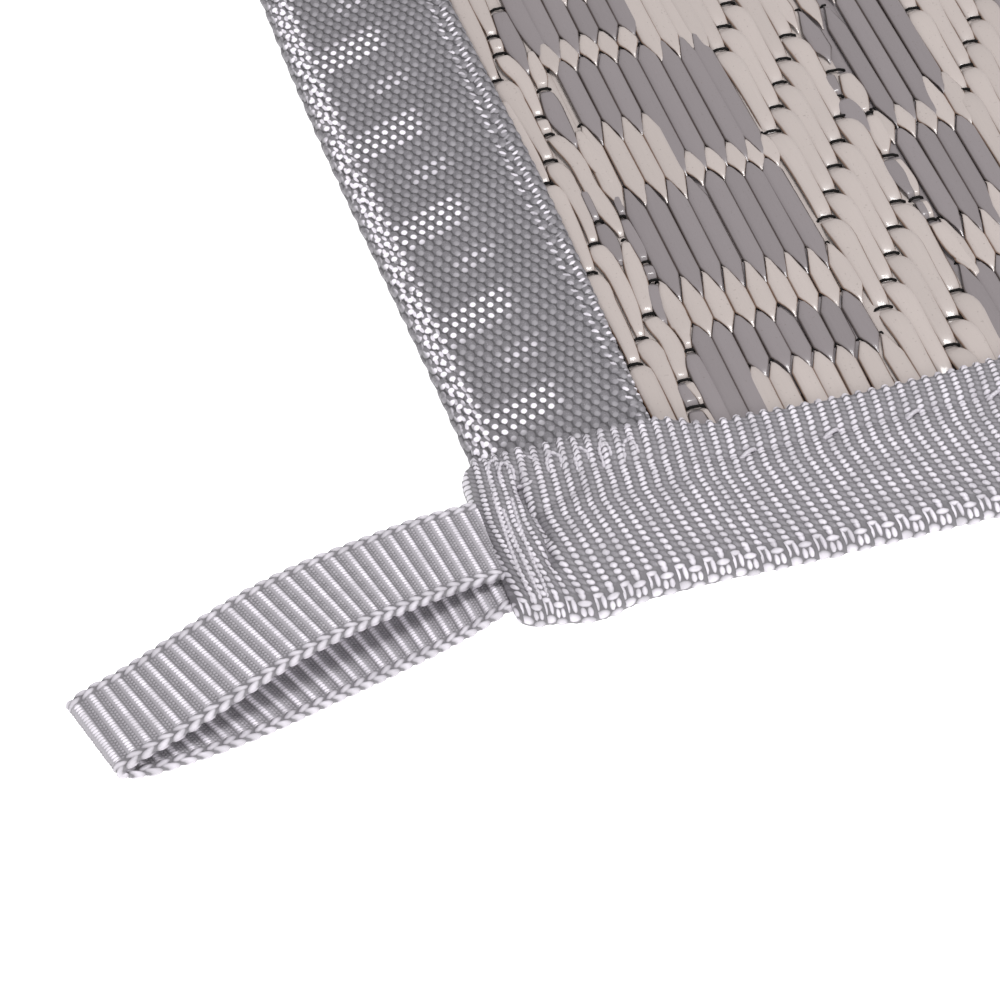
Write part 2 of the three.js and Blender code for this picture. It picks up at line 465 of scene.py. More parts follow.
# %% Block stripes
BLOCK_HALF = 1.55
BEFORE_LONG, BEFORE_SHORT = 1.0, 0.58   # how far a float reaches below its first row, in rows
BEFORE_OTHER = 0.8              # the same for what follows where no float does
AFTER_ROW = 1.04                # and past its last one
ROWS_UNDER_TAPE = 3
KNOT_WIDTH = 0.8
BLOCK_MARGIN = 18.0             # no block float comes nearer the rug's edge than this
WIDE_BLOCK = [                  # for each pair: grey runs of rows, then cream runs
    ([(16, 20), (5, 8), (12, 14)], [(3, 4), (9, 11), (15, 15)]),
    ([(16, 20), (5, 8), (12, 14)], [(3, 4), (9, 11), (15, 15)]),
    ([(16, 17), (1, 2), (5, 8), (12, 14)], [(0, 0), (3, 4), (9, 11), (15, 15)]),
    ([(16, 17), (1, 2), (5, 8), (10, 14)], [(0, 0), (3, 4), (9, 11), (15, 15)]),
    ([(16, 17), (1, 2), (5, 8), (10, 14)], [(0, 0), (3, 4), (9, 9), (15, 15)]),
    ([(1, 2), (5, 8), (10, 14)], [(3, 4), (9, 9), (15, 18)]),
    ([(1, 2), (5, 8), (10, 14)], [(3, 4), (9, 9), (15, 18)]),
    ([(1, 2), (5, 8), (10, 14)], [(3, 4), (9, 9), (15, 18)]),
]
NARROW_BLOCK = [
    ([(0, 2), (6, 8), (13, 14)], [(3, 5), (9, 12), (15, 17)]),
    ([(0, 2), (5, 8), (10, 14)], [(3, 4), (9, 9), (15, 17)]),
    ([(1, 2), (5, 8), (10, 15)], [(3, 4), (9, 9), (16, 18)]),
    ([(1, 2), (5, 8), (10, 15)], [(3, 4), (9, 9), (16, 18)]),
    ([(2, 3), (6, 8), (11, 16)], [(4, 5), (9, 10), (17, 19)]),
]


def reach_before(first_row, last_row):
    """How far below its first row a block float begins, in rows."""
    return BEFORE_LONG if last_row - first_row > 1 else BEFORE_SHORT


def block_float(colour, x, first_row, last_row, half, before_next):
    """A float over some rows. Its upper point fits between the next floats, which start below it."""
    before = reach_before(first_row, last_row)
    y_low = max(row_place(first_row) - before * ROW_PITCH, BLOCK_MARGIN)
    y_high = min(row_place(last_row) + AFTER_ROW * ROW_PITCH, RUG_WIDTH - BLOCK_MARGIN)
    wobble = random_numbers.normal(0, 0.12, 4)
    x_low = x + wobble[0] + corner_drift(x, y_low)
    x_high = x + wobble[1] + corner_drift(x, y_high)
    tapers = [(reach + AFTER_ROW - 1) * ROW_PITCH + 0.35 for reach in (before, before_next)]
    add_float("block", colour, (x_low, y_low + wobble[2]), (x_high, y_high + wobble[3]), half, tapers=tapers)
    add_tie(x_high, y_high + 0.2 + wobble[3], KNOT_WIDTH, 0.1)


def block_stripe(x, pitch, pairs, last_row, drawn_rows=()):
    """Pairs of a grey and a cream straw, and one more cream straw to close the stripe."""
    half = BLOCK_HALF * pitch / STRAW_PITCH
    for i, (grey_runs, cream_runs) in enumerate([*pairs, ([], pairs[-1][1])]):
        centre = x + pitch * (i + 0.5)
        both = [*grey_runs, *cream_runs]
        reaches = {first % REPEAT_ROWS: reach_before(first, last) for first, last in both}
        runs = [(GREY_STRAW, centre, *run) for run in grey_runs]
        runs += [(CREAM_STRAW, centre - 0.5 * pitch, *run) for run in cream_runs]
        runs_on = (0, 0) in cream_runs  # the lowest creams run on under the tape
        for repeat in range(-1, last_row // REPEAT_ROWS + 1):
            for colour, place, first, last in runs:
                low = first + REPEAT_ROWS * repeat
                high = last + REPEAT_ROWS * repeat
                if (i == 0 and low in drawn_rows) or (runs_on and high < 0):
                    continue
                if runs_on and low == 0:
                    low = -ROWS_UNDER_TAPE
                if row_place(high) > FIELD_FRONT - 4 and low < last_row:
                    before_next = reaches.get((last + 1) % REPEAT_ROWS, BEFORE_OTHER)
                    block_float(colour, place, low, high, half, before_next)


# %% [markdown]
# The narrow stripe beside the left tape breaks the rule: the weaver starts the pattern there, and
# the straws wander between their ties. It is drawn straw by straw, and so is the left edge of the
# next narrow stripe. Each line gives a straw's places from the top down: across, along and half
# width, in millimetres from the rug's corner.

# %% The first stripe, straw by straw
FIRST_CREAM = (
    [(27.6, 58.4, 0.8), (27.8, 57, 1.4), (27.9, 52, 1.35), (28, 45, 1.15), (27.8, 40.3, 0.85)],
    [(27.7, 39.6, 0.95), (27.9, 38.3, 1.7), (28, 36, 1.7), (28.1, 30, 1.55), (28.2, 22, 1.4)],
    [(27.4, 77.6, 0.8), (27.8, 76.3, 1.4), (28.1, 71, 1.3), (27.9, 63, 1), (27.7, 59, 0.75)],
    [(27.4, 101, 0.85), (28, 99.6, 1.7), (28.6, 95, 1.5), (29.1, 88, 1.05), (29.4, 82.8, 0.8)],
    [(27, 97, 0.3), (27.3, 90, 0.7), (27.5, 84, 0.75), (27.5, 78.2, 0.6)],
    [(27.6, 124, 1.2), (27.5, 118, 1.45), (27.5, 110, 1.3), (27.3, 104, 0.8), (27.3, 101.6, 0.6)],
    [(30, 44.2, 0.9), (30.5, 42.3, 1.7), (30.8, 39, 1.4), (30.7, 33, 1), (30.4, 28, 0.65), (30.2, 23, 0.4)],
    [(30, 63.9, 0.85), (30.2, 61.7, 1.5), (30.7, 58, 1.3), (30.7, 50, 1.1), (30.3, 46, 0.7),
     (30.2, 44.6, 0.5)],
    [(29.5, 82, 0.85), (29.9, 80.2, 1.55), (30.4, 76, 1.35), (30.5, 70, 0.95), (30.1, 64.4, 0.65)],
    [(31.3, 87.4, 0.9), (32.2, 85, 1.35), (33.1, 81, 1.3), (33.2, 76, 1.15), (33.8, 70, 1.35),
     (34.1, 67, 0.9), (34.3, 64.5, 0.35)],
    [(31, 91.5, 0.75), (31, 90, 0.8), (31, 88.1, 0.75)],
    [(29.6, 106.6, 0.85), (30.2, 104, 1.4), (31.1, 100, 1.2), (31.1, 96, 0.95), (31, 92.2, 0.7)],
    [(29.9, 110.7, 0.85), (29.8, 109, 0.9), (29.7, 107.3, 0.8)],
    [(30.2, 124, 1.3), (30.1, 118, 1.2), (30, 111.4, 0.75)],
    [(32.5, 48.2, 0.95), (32.9, 46.5, 1.3), (33.7, 43, 1.4), (33.7, 40.5, 1.4), (33.2, 37.5, 1),
     (33.1, 35.5, 0.8)],
    [(33.2, 34.7, 0.7), (33.6, 32.5, 0.45), (33.9, 30.3, 0.25)],
    [(33.6, 29.5, 0.35), (33.9, 27.5, 0.3), (34.1, 24, 0.2)],
    [(34.3, 63.4, 0.35), (34, 61.5, 0.75), (33.7, 58, 1.25), (33.3, 54, 1.25), (32.8, 50.5, 0.95),
     (32.6, 48.8, 0.8)],
    [(36.3, 54, 0.2), (36.2, 51.5, 0.9), (36.3, 48, 1.5), (36.2, 45.5, 1.35), (35.9, 42.5, 0.65),
     (35.8, 40.8, 0.4)],
    [(34.2, 106.5, 0.2), (33.9, 103, 1), (33.8, 100.5, 1.15), (33.5, 98, 0.75)],
    [(35.2, 87.5, 0.2), (35.4, 84, 1.1), (35.6, 80, 1.2), (35.9, 77, 0.75), (36.6, 74.2, 0.2)],
)
FIRST_GREY = (
    [(32.6, 34.8, 0.8), (32.7, 32, 1.2), (32.8, 30.3, 1.1)],
    [(32.6, 29.5, 0.95), (32.4, 27, 1.3), (32.3, 22, 1.4)],
    [(31.9, 67.9, 0.5), (32.1, 66, 1), (32.2, 63.8, 1.25), (32.4, 61, 0.7), (32.3, 59, 0.2)],
    [(31.9, 75, 0.4), (31.9, 72, 0.5), (31.9, 68.5, 0.45)],
    [(35.6, 67.9, 0.45), (35.6, 64, 0.85), (35.7, 60, 0.7), (35.6, 58.8, 0.5)],
    [(35.6, 58, 0.6), (35.6, 56.5, 0.7), (35.5, 55, 0.7)],
    [(35.3, 54.2, 0.75), (34.8, 52, 1), (34.3, 49, 0.75), (34.3, 46, 0.35)],
    [(35.7, 39.8, 0.6), (35.5, 37.5, 1.2), (35.5, 35, 1.35), (35.7, 30, 1.45), (35.8, 22, 1.5)],
    [(33.5, 97.1, 0.8), (33.5, 94.5, 1.3), (33.4, 90.5, 1.45), (33.8, 87, 0.9), (34.2, 84, 0.2)],
    [(32.4, 116.4, 1), (32.3, 112, 1.35), (32.3, 107, 1.4), (32.4, 104, 0.75), (32.5, 101.5, 0.25)],
    [(35.2, 124, 1.4), (35.3, 112, 1.55), (35.7, 107, 1.2), (36, 102.5, 0.3)],
    [(36, 73, 0.3), (35.9, 71, 0.5), (35.8, 68.4, 0.4)],
)
FIRST_TIES = (                  # place of the middle, and width
    (27.6, 58.7, 1.8), (27.6, 39.95, 2.1), (27.4, 77.95, 1.8), (29.4, 82.4, 2.1), (27.4, 101.3, 1.9),
    (30, 44.4, 2.1), (30, 64.1, 1.8), (31, 87.75, 1.6), (30.9, 91.8, 1.6), (29.7, 106.9, 2), (29.9, 111, 1.8),
    (32.6, 48.5, 2.2), (33, 35.05, 2.1), (32.8, 29.9, 2.7), (32, 68.2, 1.2), (35.6, 68.2, 0.9),
    (35.7, 58.4, 1.3), (35.5, 54.6, 1.4), (35.7, 40.2, 1.5), (33.5, 97.4, 1.9), (32.5, 116.8, 2.2),
    (36, 101.4, 1), (34.3, 63.9, 0.5), (36.9, 73.6, 0.8),
)
SECOND_CREAM = (                # the left edge of the narrow stripe after it
    [(76.9, 87.6, 0.8), (76.9, 85.5, 1.3), (76.9, 83, 1.75), (76.9, 80, 1), (76.9, 78.3, 0.35)],
    [(77.2, 77.8, 0.7), (77, 75, 1.2), (76.8, 72.8, 1.45), (76.4, 70.5, 0.9), (76.1, 69, 0.4)],
    [(77.2, 68, 0.4), (77.4, 65, 0.7), (77.5, 62, 0.7), (77.2, 59.6, 0.3)],
    [(77.5, 58.6, 0.35), (77.5, 56.5, 0.4), (77.4, 54.7, 0.35)],
    [(77.3, 53.7, 0.75), (77.8, 50.5, 1.35), (78.2, 47, 1.3), (78.8, 44, 0.75), (79.1, 41.5, 0.3)],
)
SECOND_GREY = (
    [(74.3, 88, 0.9), (74.2, 85.5, 0.9), (74.2, 83.2, 0.7)],
    [(74.3, 82.3, 0.9), (74.8, 79.5, 1.75), (75.2, 76.5, 1.2), (75.4, 73.6, 0.4)],
    [(75.9, 68, 0.9), (76.1, 64.5, 1.35), (76.2, 61.5, 0.8), (76.4, 59.5, 0.5)],
    [(76.7, 58.6, 0.5), (76.7, 56.5, 0.6), (76.7, 54.7, 0.5)],
)
SECOND_TIES = (
    (75.6, 88.3, 3.2), (74.1, 82.8, 1.6), (77.3, 78.1, 1.4), (76.3, 68.6, 2.8), (76.8, 59.1, 1.9),
    (77.1, 54.3, 1.5),
)


def from_corner(places):
    """Places measured from the rug's corner, as places on the chart."""
    return [(x - CHART_SHIFT[0], y - CHART_SHIFT[1], half) for x, y, half in places]


def drawn_straws():
    for places in FIRST_CREAM + SECOND_CREAM:
        add_drawn(CREAM_STRAW, *from_corner(places))
    for places in FIRST_GREY + SECOND_GREY:
        add_drawn(GREY_STRAW, *from_corner(places))
    for x, y, width in from_corner(FIRST_TIES + SECOND_TIES):
        add_tie(x, y, width, -0.03)


# %% Lay out the whole field
TWILL_WIDTH = 13.5
WIDE_WIDTH = 25.0
NARROW_WIDTH = 15.5
UNIT_WIDTH = 2 * TWILL_WIDTH + WIDE_WIDTH + NARROW_WIDTH
FIRST_WIDE = 36.5
FIRST_TWILL = 62.25
LAST_TWILL_WIDTH = 10.6
RIGHT_MARGIN = 25.9
EDGE_STRAWS = (28.0, 30.5, 33.0, 35.5)  # they go on in twill where the drawn stripe ends
DRAWN_TO_ROW = 25
SECOND_DRAWN_ROWS = (3, 6, 9)   # floats of the next stripe's first pair that are drawn instead
LAST_ROW = 113
FIRST_TIE_ROW = 2
UNITS = 12


def twill_stripe(x, width, count):
    for i in range(count):
        twill_straw(x + width * (i + 0.5) / count, (FIRST_TIE_ROW + i) % TWILL_ROWS, LAST_ROW)


def lay_out_field():
    drawn_straws()
    for i, x in enumerate(EDGE_STRAWS):
        for row in range(DRAWN_TO_ROW + i, LAST_ROW, TWILL_ROWS):
            high = (x, row_place(row + TWILL_ROWS))
            add_float("twill", CREAM_STRAW, (x, row_place(row)), high, TWILL_HALF)
            add_tie(*high, TWILL_TIE)
    block_stripe(FIRST_WIDE, WIDE_WIDTH / 8, WIDE_BLOCK, LAST_ROW + 1)
    left = FIRST_TWILL
    right = RUG_LENGTH - RIGHT_MARGIN - LAST_TWILL_WIDTH
    unit = (right - left) / UNITS
    scale = unit / UNIT_WIDTH
    for i in range(UNITS):
        x = left
        for width, pairs in ((TWILL_WIDTH, None), (NARROW_WIDTH, NARROW_BLOCK),
                             (TWILL_WIDTH, None), (WIDE_WIDTH, WIDE_BLOCK)):
            width *= scale
            if pairs:
                drawn_rows = SECOND_DRAWN_ROWS if i == 0 and pairs is NARROW_BLOCK else ()
                block_stripe(x, width / len(pairs), pairs, LAST_ROW + 1, drawn_rows)
            else:
                twill_stripe(x, width, 5)
            x += width
        left += unit
    twill_stripe(left, LAST_TWILL_WIDTH, 4)


lay_out_field()
print("floats", len(floats), "ties", len(ties))

# %% [markdown]
# Each float becomes a line of points that carries its half width and roll, and Geometry Nodes
# sweep one cross section along all the lines at once. A twill float rises steeply from under the
# thread below it, runs level and drops over a broad shoulder to the thread above. A block float
# is a long lens, pointed at both ends. Near the corner a line has many points and a finely
# curved section, and far from it only a few.

# %% Lines for the floats
TWILL_STATIONS_NEAR = np.array([-0.5, 0.0, 0.45, 0.9, 1.5, 2.3, 3.4, 5.0, 7.5, 10.5, 13.5, 15.6, 17.2, 18.3,
                                19.2, 19.9])
TWILL_STATIONS_FAR = np.array([-0.4, 0.3, 1.6, 4.0, 11.0, 17.0, 19.6])
FROM_TOP = [-0.6, 0.0, 1.0, 2.4, 4.0, 6.0, 9.0, 13.0, 16.5, 18.2, 19.3, 19.9]
TOP_HEIGHTS = [1.35, 1.6, 2.15, 2.5, 2.6, 2.56, 2.48, 2.42, 2.34, 2.05, 1.55, 1.3]
TOP_WIDTHS = [0.72, 0.78, 0.95, 1.24, 1.30, 1.20, 1.06, 0.96, 0.90, 0.85, 0.78, 0.74]
TOP_SIDEWAYS = [0.0, 0.0, 0.08, 0.42, 0.68, 0.86, 0.94, 0.98, 1.0, 1.0, 1.0, 1.0]


def twill_line(item, stations):
    """Points, half widths and rolls of a float that is tied down at both ends."""
    (x_low, _), (x_high, y_high) = item["low"], item["high"]
    height, width, moved = (curve_through(FROM_TOP, values, stations)
                            for values in (TOP_HEIGHTS, TOP_WIDTHS, TOP_SIDEWAYS))
    shoulder = 0.12 * np.exp(-(((stations - 3.4) / 2.4) ** 2))
    x = x_high + (x_low - x_high) * moved + shoulder
    return np.stack([x, y_high - stations, height], -1), width * item["half"], np.full(len(stations), 0.05)


BLOCK_STATIONS_NEAR = np.array([0, 0.07, 0.16, 0.28, 0.5, 0.8, 0.97, 1.03])
BLOCK_STATIONS_FAR = np.array([0, 0.35, 1.0])


def block_line(item, tapers):
    """Points of a float that runs to a point at both ends. Tapers are shares of a pointed end."""
    (x_low, y_low), (x_high, y_high) = item["low"], item["high"]
    length = y_high - y_low
    low, high = (min(taper, 0.46 * length) for taper in item["tapers"])
    near = len(tapers) > 4
    middle = np.linspace(0.25, 0.75, 3) if near else np.array([])
    along = np.concatenate([tapers * low, low + middle * (length - low - high), length - high * tapers[::-1]])
    along = np.sort(along)
    rise_low = np.clip(along / low, 0, 1)
    rise_high = np.clip((length - along) / high, 0, 1)
    width = item["half"] * np.maximum(np.minimum(rise_low, rise_high), 0.09)
    up_low = soft_step(along, -0.6, 1.6)
    up_high = soft_step(length - along, -0.3, 1.3)
    height = 1.72 + 0.68 * np.minimum(up_low, up_high)
    x = x_low + (x_high - x_low) * along / length
    return np.stack([x, y_low + along, height], -1)[::-1], width[::-1], np.full(len(along), 0.0)


def drawn_line(item):
    """Points of a drawn float, smoothed, and tucked under at both ends."""
    places = np.array(item["places"], float)
    down = np.concatenate([[0], np.cumsum(np.hypot(np.diff(places[:, 0]), np.diff(places[:, 1])))])
    wanted = np.unique(np.concatenate([np.linspace(0, down[-1], 14), [0.35, 0.8, down[-1] - 0.5]]))
    x, y, half = (curve_through(down, places[:, i], wanted) for i in range(3))
    rise = np.minimum(soft_step(wanted, -0.3, 1.1), soft_step(down[-1] - wanted, -0.4, 0.9))
    height = 1.75 + 0.70 * rise - 0.1 * soft_step(wanted, 2, down[-1])
    return np.stack([x, y, height], -1), np.maximum(half, 0.15) + 0.06, np.full(len(x), 0.0)


UNDER_PITCH = 2.4
UNDER_HALF = 1.36
UNDER_HEIGHT = 1.72
UNDER_POINTS = 7
UNDER_MARGIN = 25.0
UNDER_SHADE = 0.35


def is_block(x):
    """Whether a place across the rug lies in a block stripe."""
    if x < FIRST_TWILL:
        return FIRST_WIDE + 1 < x < FIRST_TWILL - 1.4
    into_unit = (x - FIRST_TWILL) % UNIT_WIDTH
    narrow_end = TWILL_WIDTH + NARROW_WIDTH
    return TWILL_WIDTH < into_unit < narrow_end or into_unit > narrow_end + TWILL_WIDTH


def under_lines(colour):
    """The straws that run below the floats, so that a gap between two floats shows straw."""
    lines = []
    for x in np.arange(UNDER_MARGIN, RUG_LENGTH - UNDER_MARGIN, UNDER_PITCH):
        if (GREY_STRAW if is_block(x) else CREAM_STRAW) != colour:
            continue
        along = np.linspace(FIELD_FRONT, RUG_WIDTH - FIELD_FRONT, UNDER_POINTS)
        line = np.stack([np.full_like(along, x), along, np.full_like(along, UNDER_HEIGHT)], -1)
        lines.append((world_points(line), np.full_like(along, UNDER_HALF * MM), 0 * along, UNDER_SHADE))
    return lines


def world_points(points):
    """From chart places to the frame, in metres."""
    moved = points + np.array([CHART_SHIFT[0] - HALF_LENGTH, CHART_SHIFT[1] - HALF_WIDTH, 0])
    return moved * MM


def is_near(x, y):
    return x < NEAR_ACROSS and y < NEAR_ALONG


def lines_mesh(name, lines):
    """One mesh of many open lines, with the half width, roll and shade of each point."""
    points, widths, rolls, _ = zip(*lines)
    shades = [np.full(len(line), shade) for line, _, _, shade in lines]
    ends = np.cumsum([len(line) for line in points])
    starts = np.setdiff1d(np.arange(ends[-1]), ends - 1)    # no edge starts at a line's last point
    mesh = bpy.data.meshes.new(name)
    mesh.from_pydata(np.concatenate(points), np.stack([starts, starts + 1], -1).tolist(), [])
    for key, values in (("half_width", widths), ("roll", rolls), ("shade", shades)):
        layer = mesh.attributes.new(key, "FLOAT", "POINT")
        layer.data.foreach_set("value", np.concatenate(values).astype(np.float32))
    return placed(name, mesh)


# %% The tree that sweeps a section along lines


def sweep_tree(name, round_section):
    """Sweeps a section along the edges of a mesh: a crowned strip, or a round thread."""
    tree = bpy.data.node_groups.new(name, "GeometryNodeTree")
    sockets = (("Geometry", "INPUT", "Geometry", None), ("Points across", "INPUT", "Int", 9),
               ("Crown", "INPUT", "Float", 0.08), ("Edge drop", "INPUT", "Float", 0.20),
               ("Finish", "INPUT", "Material", None), ("Geometry", "OUTPUT", "Geometry", None))
    for label, way, kind, value in sockets:
        socket = tree.interface.new_socket(label, in_out=way, socket_type="NodeSocket" + kind)
        if value:
            socket.default_value = value
    nodes, links = tree.nodes, tree.links
    given, result = nodes.new("NodeGroupInput"), nodes.new("NodeGroupOutput")

    def add(kind, settings=None, inputs=None):
        node = nodes.new(kind)
        for key, value in (settings or {}).items():
            setattr(node, key, value)
        for key, value in (inputs or {}).items():
            if isinstance(value, bpy.types.NodeSocket):
                links.new(value, node.inputs[key])
            else:
                node.inputs[key].default_value = value
        return node

    def named(key):
        return add("GeometryNodeInputNamedAttribute", {"data_type": "FLOAT"}, {"Name": key}).outputs[0]

    def maths(operation, first, second):
        return add("ShaderNodeMath", {"operation": operation}, {0: first, 1: second}).outputs[0]

    curve = add("GeometryNodeMeshToCurve", None, {"Mesh": given.outputs["Geometry"]})
    upright = add("GeometryNodeSetCurveNormal", {"mode": "Z_UP"}, {"Curve": curve.outputs[0]})
    rolled = add("GeometryNodeSetCurveTilt", None, {"Curve": upright.outputs[0], "Tilt": named("roll")})
    if round_section:
        section = add("GeometryNodeCurvePrimitiveCircle", None,
                      {"Resolution": given.outputs["Points across"], "Radius": 1.0}).outputs[0]
    else:
        line = add("GeometryNodeCurvePrimitiveLine", None, {"Start": (-1, 0, 0), "End": (1, 0, 0)})
        even = add("GeometryNodeResampleCurve", None,
                   {"Curve": line.outputs[0], "Count": given.outputs["Points across"]})
        place = add("GeometryNodeInputPosition")
        x = add("ShaderNodeSeparateXYZ", None, {0: place.outputs[0]}).outputs[0]
        crown = maths("MULTIPLY", maths("POWER", x, 2.0), given.outputs["Crown"])
        drop = maths("MULTIPLY", maths("POWER", x, 8.0), given.outputs["Edge drop"])
        offset = add("ShaderNodeCombineXYZ", None, {"Y": maths("ADD", crown, drop)})
        bent = add("GeometryNodeSetPosition", None,
                   {"Geometry": even.outputs[0], "Offset": offset.outputs[0]})
        section = add("GeometryNodeStoreNamedAttribute", {"data_type": "FLOAT", "domain": "POINT"},
                      {"Geometry": bent.outputs[0], "Name": "across", "Value": x}).outputs[0]
    swept = add("GeometryNodeCurveToMesh", None,
                {"Curve": rolled.outputs[0], "Profile Curve": section, "Scale": named("half_width"),
                 "Fill Caps": round_section})
    smooth = add("GeometryNodeSetShadeSmooth", None, {"Geometry": swept.outputs[0]})
    real = add("GeometryNodeRealizeInstances", None, {"Geometry": smooth.outputs[0]})
    painted = add("GeometryNodeSetMaterial", None,
                  {"Geometry": real.outputs[0], "Material": given.outputs["Finish"]})
    links.new(painted.outputs[0], result.inputs[0])
    return tree


def counted(piece):
    """Prints how many triangles a piece has, and hands it on."""
    piece.data.calc_loop_triangles()
    print(piece.name, len(piece.data.loop_triangles), "triangles")
    return piece


def baked(item, tree, name, values):
    """Runs a tree on an object and keeps its result as a plain mesh on a new object."""
    modifier = item.modifiers.new("making", "NODES")
    modifier.node_group = tree
    keys = {s.name: s.identifier for s in tree.interface.items_tree if s.in_out == "INPUT"}
    for label, value in values.items():
        modifier[keys[label]] = value
    view = bpy.context.evaluated_depsgraph_get()
    mesh = bpy.data.meshes.new_from_object(item.evaluated_get(view))
    item.modifiers.clear()
    bpy.data.objects.remove(item)
    mesh.name = name
    return counted(placed(name, mesh))


strip_sweep = sweep_tree("straw_sweep", False)
thread_sweep = sweep_tree("thread_sweep", True)

# %% [markdown]
# With the tree ready, the floats are sorted by colour, by stripe and by distance from the corner,
# and each group is swept into one piece.

# %% Sweep the straws
ALL_KINDS = ("twill", "block", "drawn")
STRAW_GROUPS = (                # name, colour, kinds, near, points across
    ("near_cream_straws", CREAM_STRAW, ALL_KINDS, True, 9),
    ("near_grey_straws", GREY_STRAW, ALL_KINDS, True, 9),
    ("cream_twill_straws", CREAM_STRAW, ("twill",), False, 3),
    ("cream_block_straws", CREAM_STRAW, ("block",), False, 3),
    ("grey_block_straws", GREY_STRAW, ALL_KINDS, False, 3),
)


def straw_lines(colour, kinds, near):
    lines = []
    for item in floats:
        if item["colour"] != colour or item["kind"] not in kinds or is_near(*item["low"]) != near:
            continue
        if item["kind"] == "drawn":
            line, width, roll = drawn_line(item)
        elif item["kind"] == "twill":
            line, width, roll = twill_line(item, TWILL_STATIONS_NEAR if near else TWILL_STATIONS_FAR)
        else:
            line, width, roll = block_line(item, BLOCK_STATIONS_NEAR if near else BLOCK_STATIONS_FAR)
        lift, lean = random_numbers.normal(0, 0.05), random_numbers.normal(0, 0.035)
        shade = random_numbers.random()
        line = line + np.array([0, 0, lift])
        lines.append((world_points(line), width * MM, roll + lean, shade))
    return lines


def make_straws():
    pieces = []
    for name, colour, kinds, near, across in STRAW_GROUPS:
        lines = straw_lines(colour, kinds, near)
        if not near and name != "cream_block_straws":
            lines += under_lines(colour)
        finish = cream_straw if colour == CREAM_STRAW else grey_straw
        values = {"Points across": across, "Finish": finish}
        pieces.append(baked(lines_mesh(name + "_lines", lines), strip_sweep, name, values))
    return pieces


TIE_THICKNESS = 0.44
TIE_TOP, KNOT_TOP = 2.12, 1.75


def tie_line(x, y, width, slant, near):
    """A short stretch of black thread that comes up, crosses a straw and goes down again."""
    shares = np.array([-0.62, -0.5, -0.25, 0.25, 0.5, 0.62]) if near else np.array([-0.55, 0.0, 0.55])
    top = TIE_TOP if width > KNOT_WIDTH else KNOT_TOP
    heights = np.array([1.0, top - 0.3, top, top, top - 0.3, 1.0]) if near else np.array([1.1, top, 1.1])
    return np.stack([x + shares * width, y + shares * width * slant, heights], -1)


def make_ties():
    pieces = []
    for near, across in ((True, 7), (False, 3)):
        lines = []
        for x, y, width, slant in ties:
            if is_near(x, y) != near or (width == KNOT_WIDTH and not near):
                continue
            slant = slant + random_numbers.normal(0, 0.05)
            line = tie_line(x, y, width, slant, near)
            half = np.full(len(line), TIE_THICKNESS / 2)
            lines.append((world_points(line), half * MM, np.zeros(len(line)), 0.5))
        name = "near_ties" if near else "ties"
        values = {"Points across": across, "Finish": black_thread}
        pieces.append(baked(lines_mesh(name + "_lines", lines), thread_sweep, name, values))
    return pieces


straw_pieces = make_straws()
tie_pieces = make_ties()

# %% [markdown]
# Under the straws lies the ground of the mat. It is one thin sheet, dark on top, where it shows
# only through the gaps: the dark warp, and painted shade for the depth of those gaps. It carries
# the backs of the straws below.

# %% Ground sheet


def grid_faces(index):
    """Four-sided faces between the neighbours in a grid of vertex numbers."""
    return np.stack([index[:-1, :-1], index[:-1, 1:], index[1:, 1:], index[1:, :-1]], -1).reshape(-1, 4)


def grid_piece(name, points, uv, material, fine, closed_across=False):
    """A mesh through a grid of points, with its own map in millimetres, smooth shaded."""
    rows, columns = points.shape[:2]
    index = np.arange(rows * columns).reshape(rows, columns)
    faces = grid_faces(index)
    if closed_across:
        seam = np.stack([index[:-1, -1], index[:-1, 0], index[1:, 0], index[1:, -1]], -1)
        faces = np.concatenate([faces, seam])
    mesh = bpy.data.meshes.new(name)
    mesh.from_pydata((points * MM).reshape(-1, 3), [], faces.tolist())
    layer = mesh.uv_layers.new(name="surface_mm")
    corners = np.empty(len(mesh.loops), np.int32)
    mesh.loops.foreach_get("vertex_index", corners)
    layer.data.foreach_set("uv", uv.reshape(-1, 2)[corners].astype(np.float32).ravel())
    kept = mesh.attributes.new("fine", "FLOAT", "POINT")
    kept.data.foreach_set("value", fine.astype(np.float32).ravel())
    mesh.shade_smooth()
    mesh.materials.append(material)
    return counted(placed(name, mesh))


GROUND_UNDERSIDE, GROUND_TOP = 0.35, 1.3
MARGIN_UNDERSIDE, MARGIN_TOP = 1.32, 1.6     # inside the binding, where the mat is thinner
MARGIN_WIDTH = 27.5


def ground_places(half):
    """Places across the ground, close together where it steps up inside the binding."""
    outer = np.array([3.5, 15, 27.4, 29])
    inner = np.linspace(45, 2 * half - 45, int(half / 10))
    return np.concatenate([outer, inner, 2 * half - outer[::-1]]) - half


def make_ground():
    gx, gy = np.meshgrid(ground_places(HALF_LENGTH), ground_places(HALF_WIDTH))
    edge = np.minimum(HALF_LENGTH - np.abs(gx), HALF_WIDTH - np.abs(gy))
    margin = edge < MARGIN_WIDTH
    heights = (np.where(margin, MARGIN_TOP, GROUND_TOP), np.where(margin, MARGIN_UNDERSIDE, GROUND_UNDERSIDE))
    points = np.concatenate([np.stack([gx, gy, height], -1).reshape(-1, 3) for height in heights])
    rows, columns = gx.shape
    index = np.arange(rows * columns).reshape(rows, columns)
    upper = grid_faces(index)
    lower = upper[:, ::-1] + rows * columns
    rim = np.concatenate([index[0, :-1], index[:-1, -1], index[-1, :0:-1], index[:0:-1, 0]])
    onward = np.roll(rim, -1)
    wall = np.stack([rim, rim + rows * columns, onward + rows * columns, onward], -1)
    mesh = bpy.data.meshes.new("mat_ground")
    mesh.from_pydata(points * MM, [], np.concatenate([upper, lower, wall]).tolist())
    mesh.materials.append(woven_ground)
    return counted(placed("mat_ground", mesh))


mat_ground = make_ground()
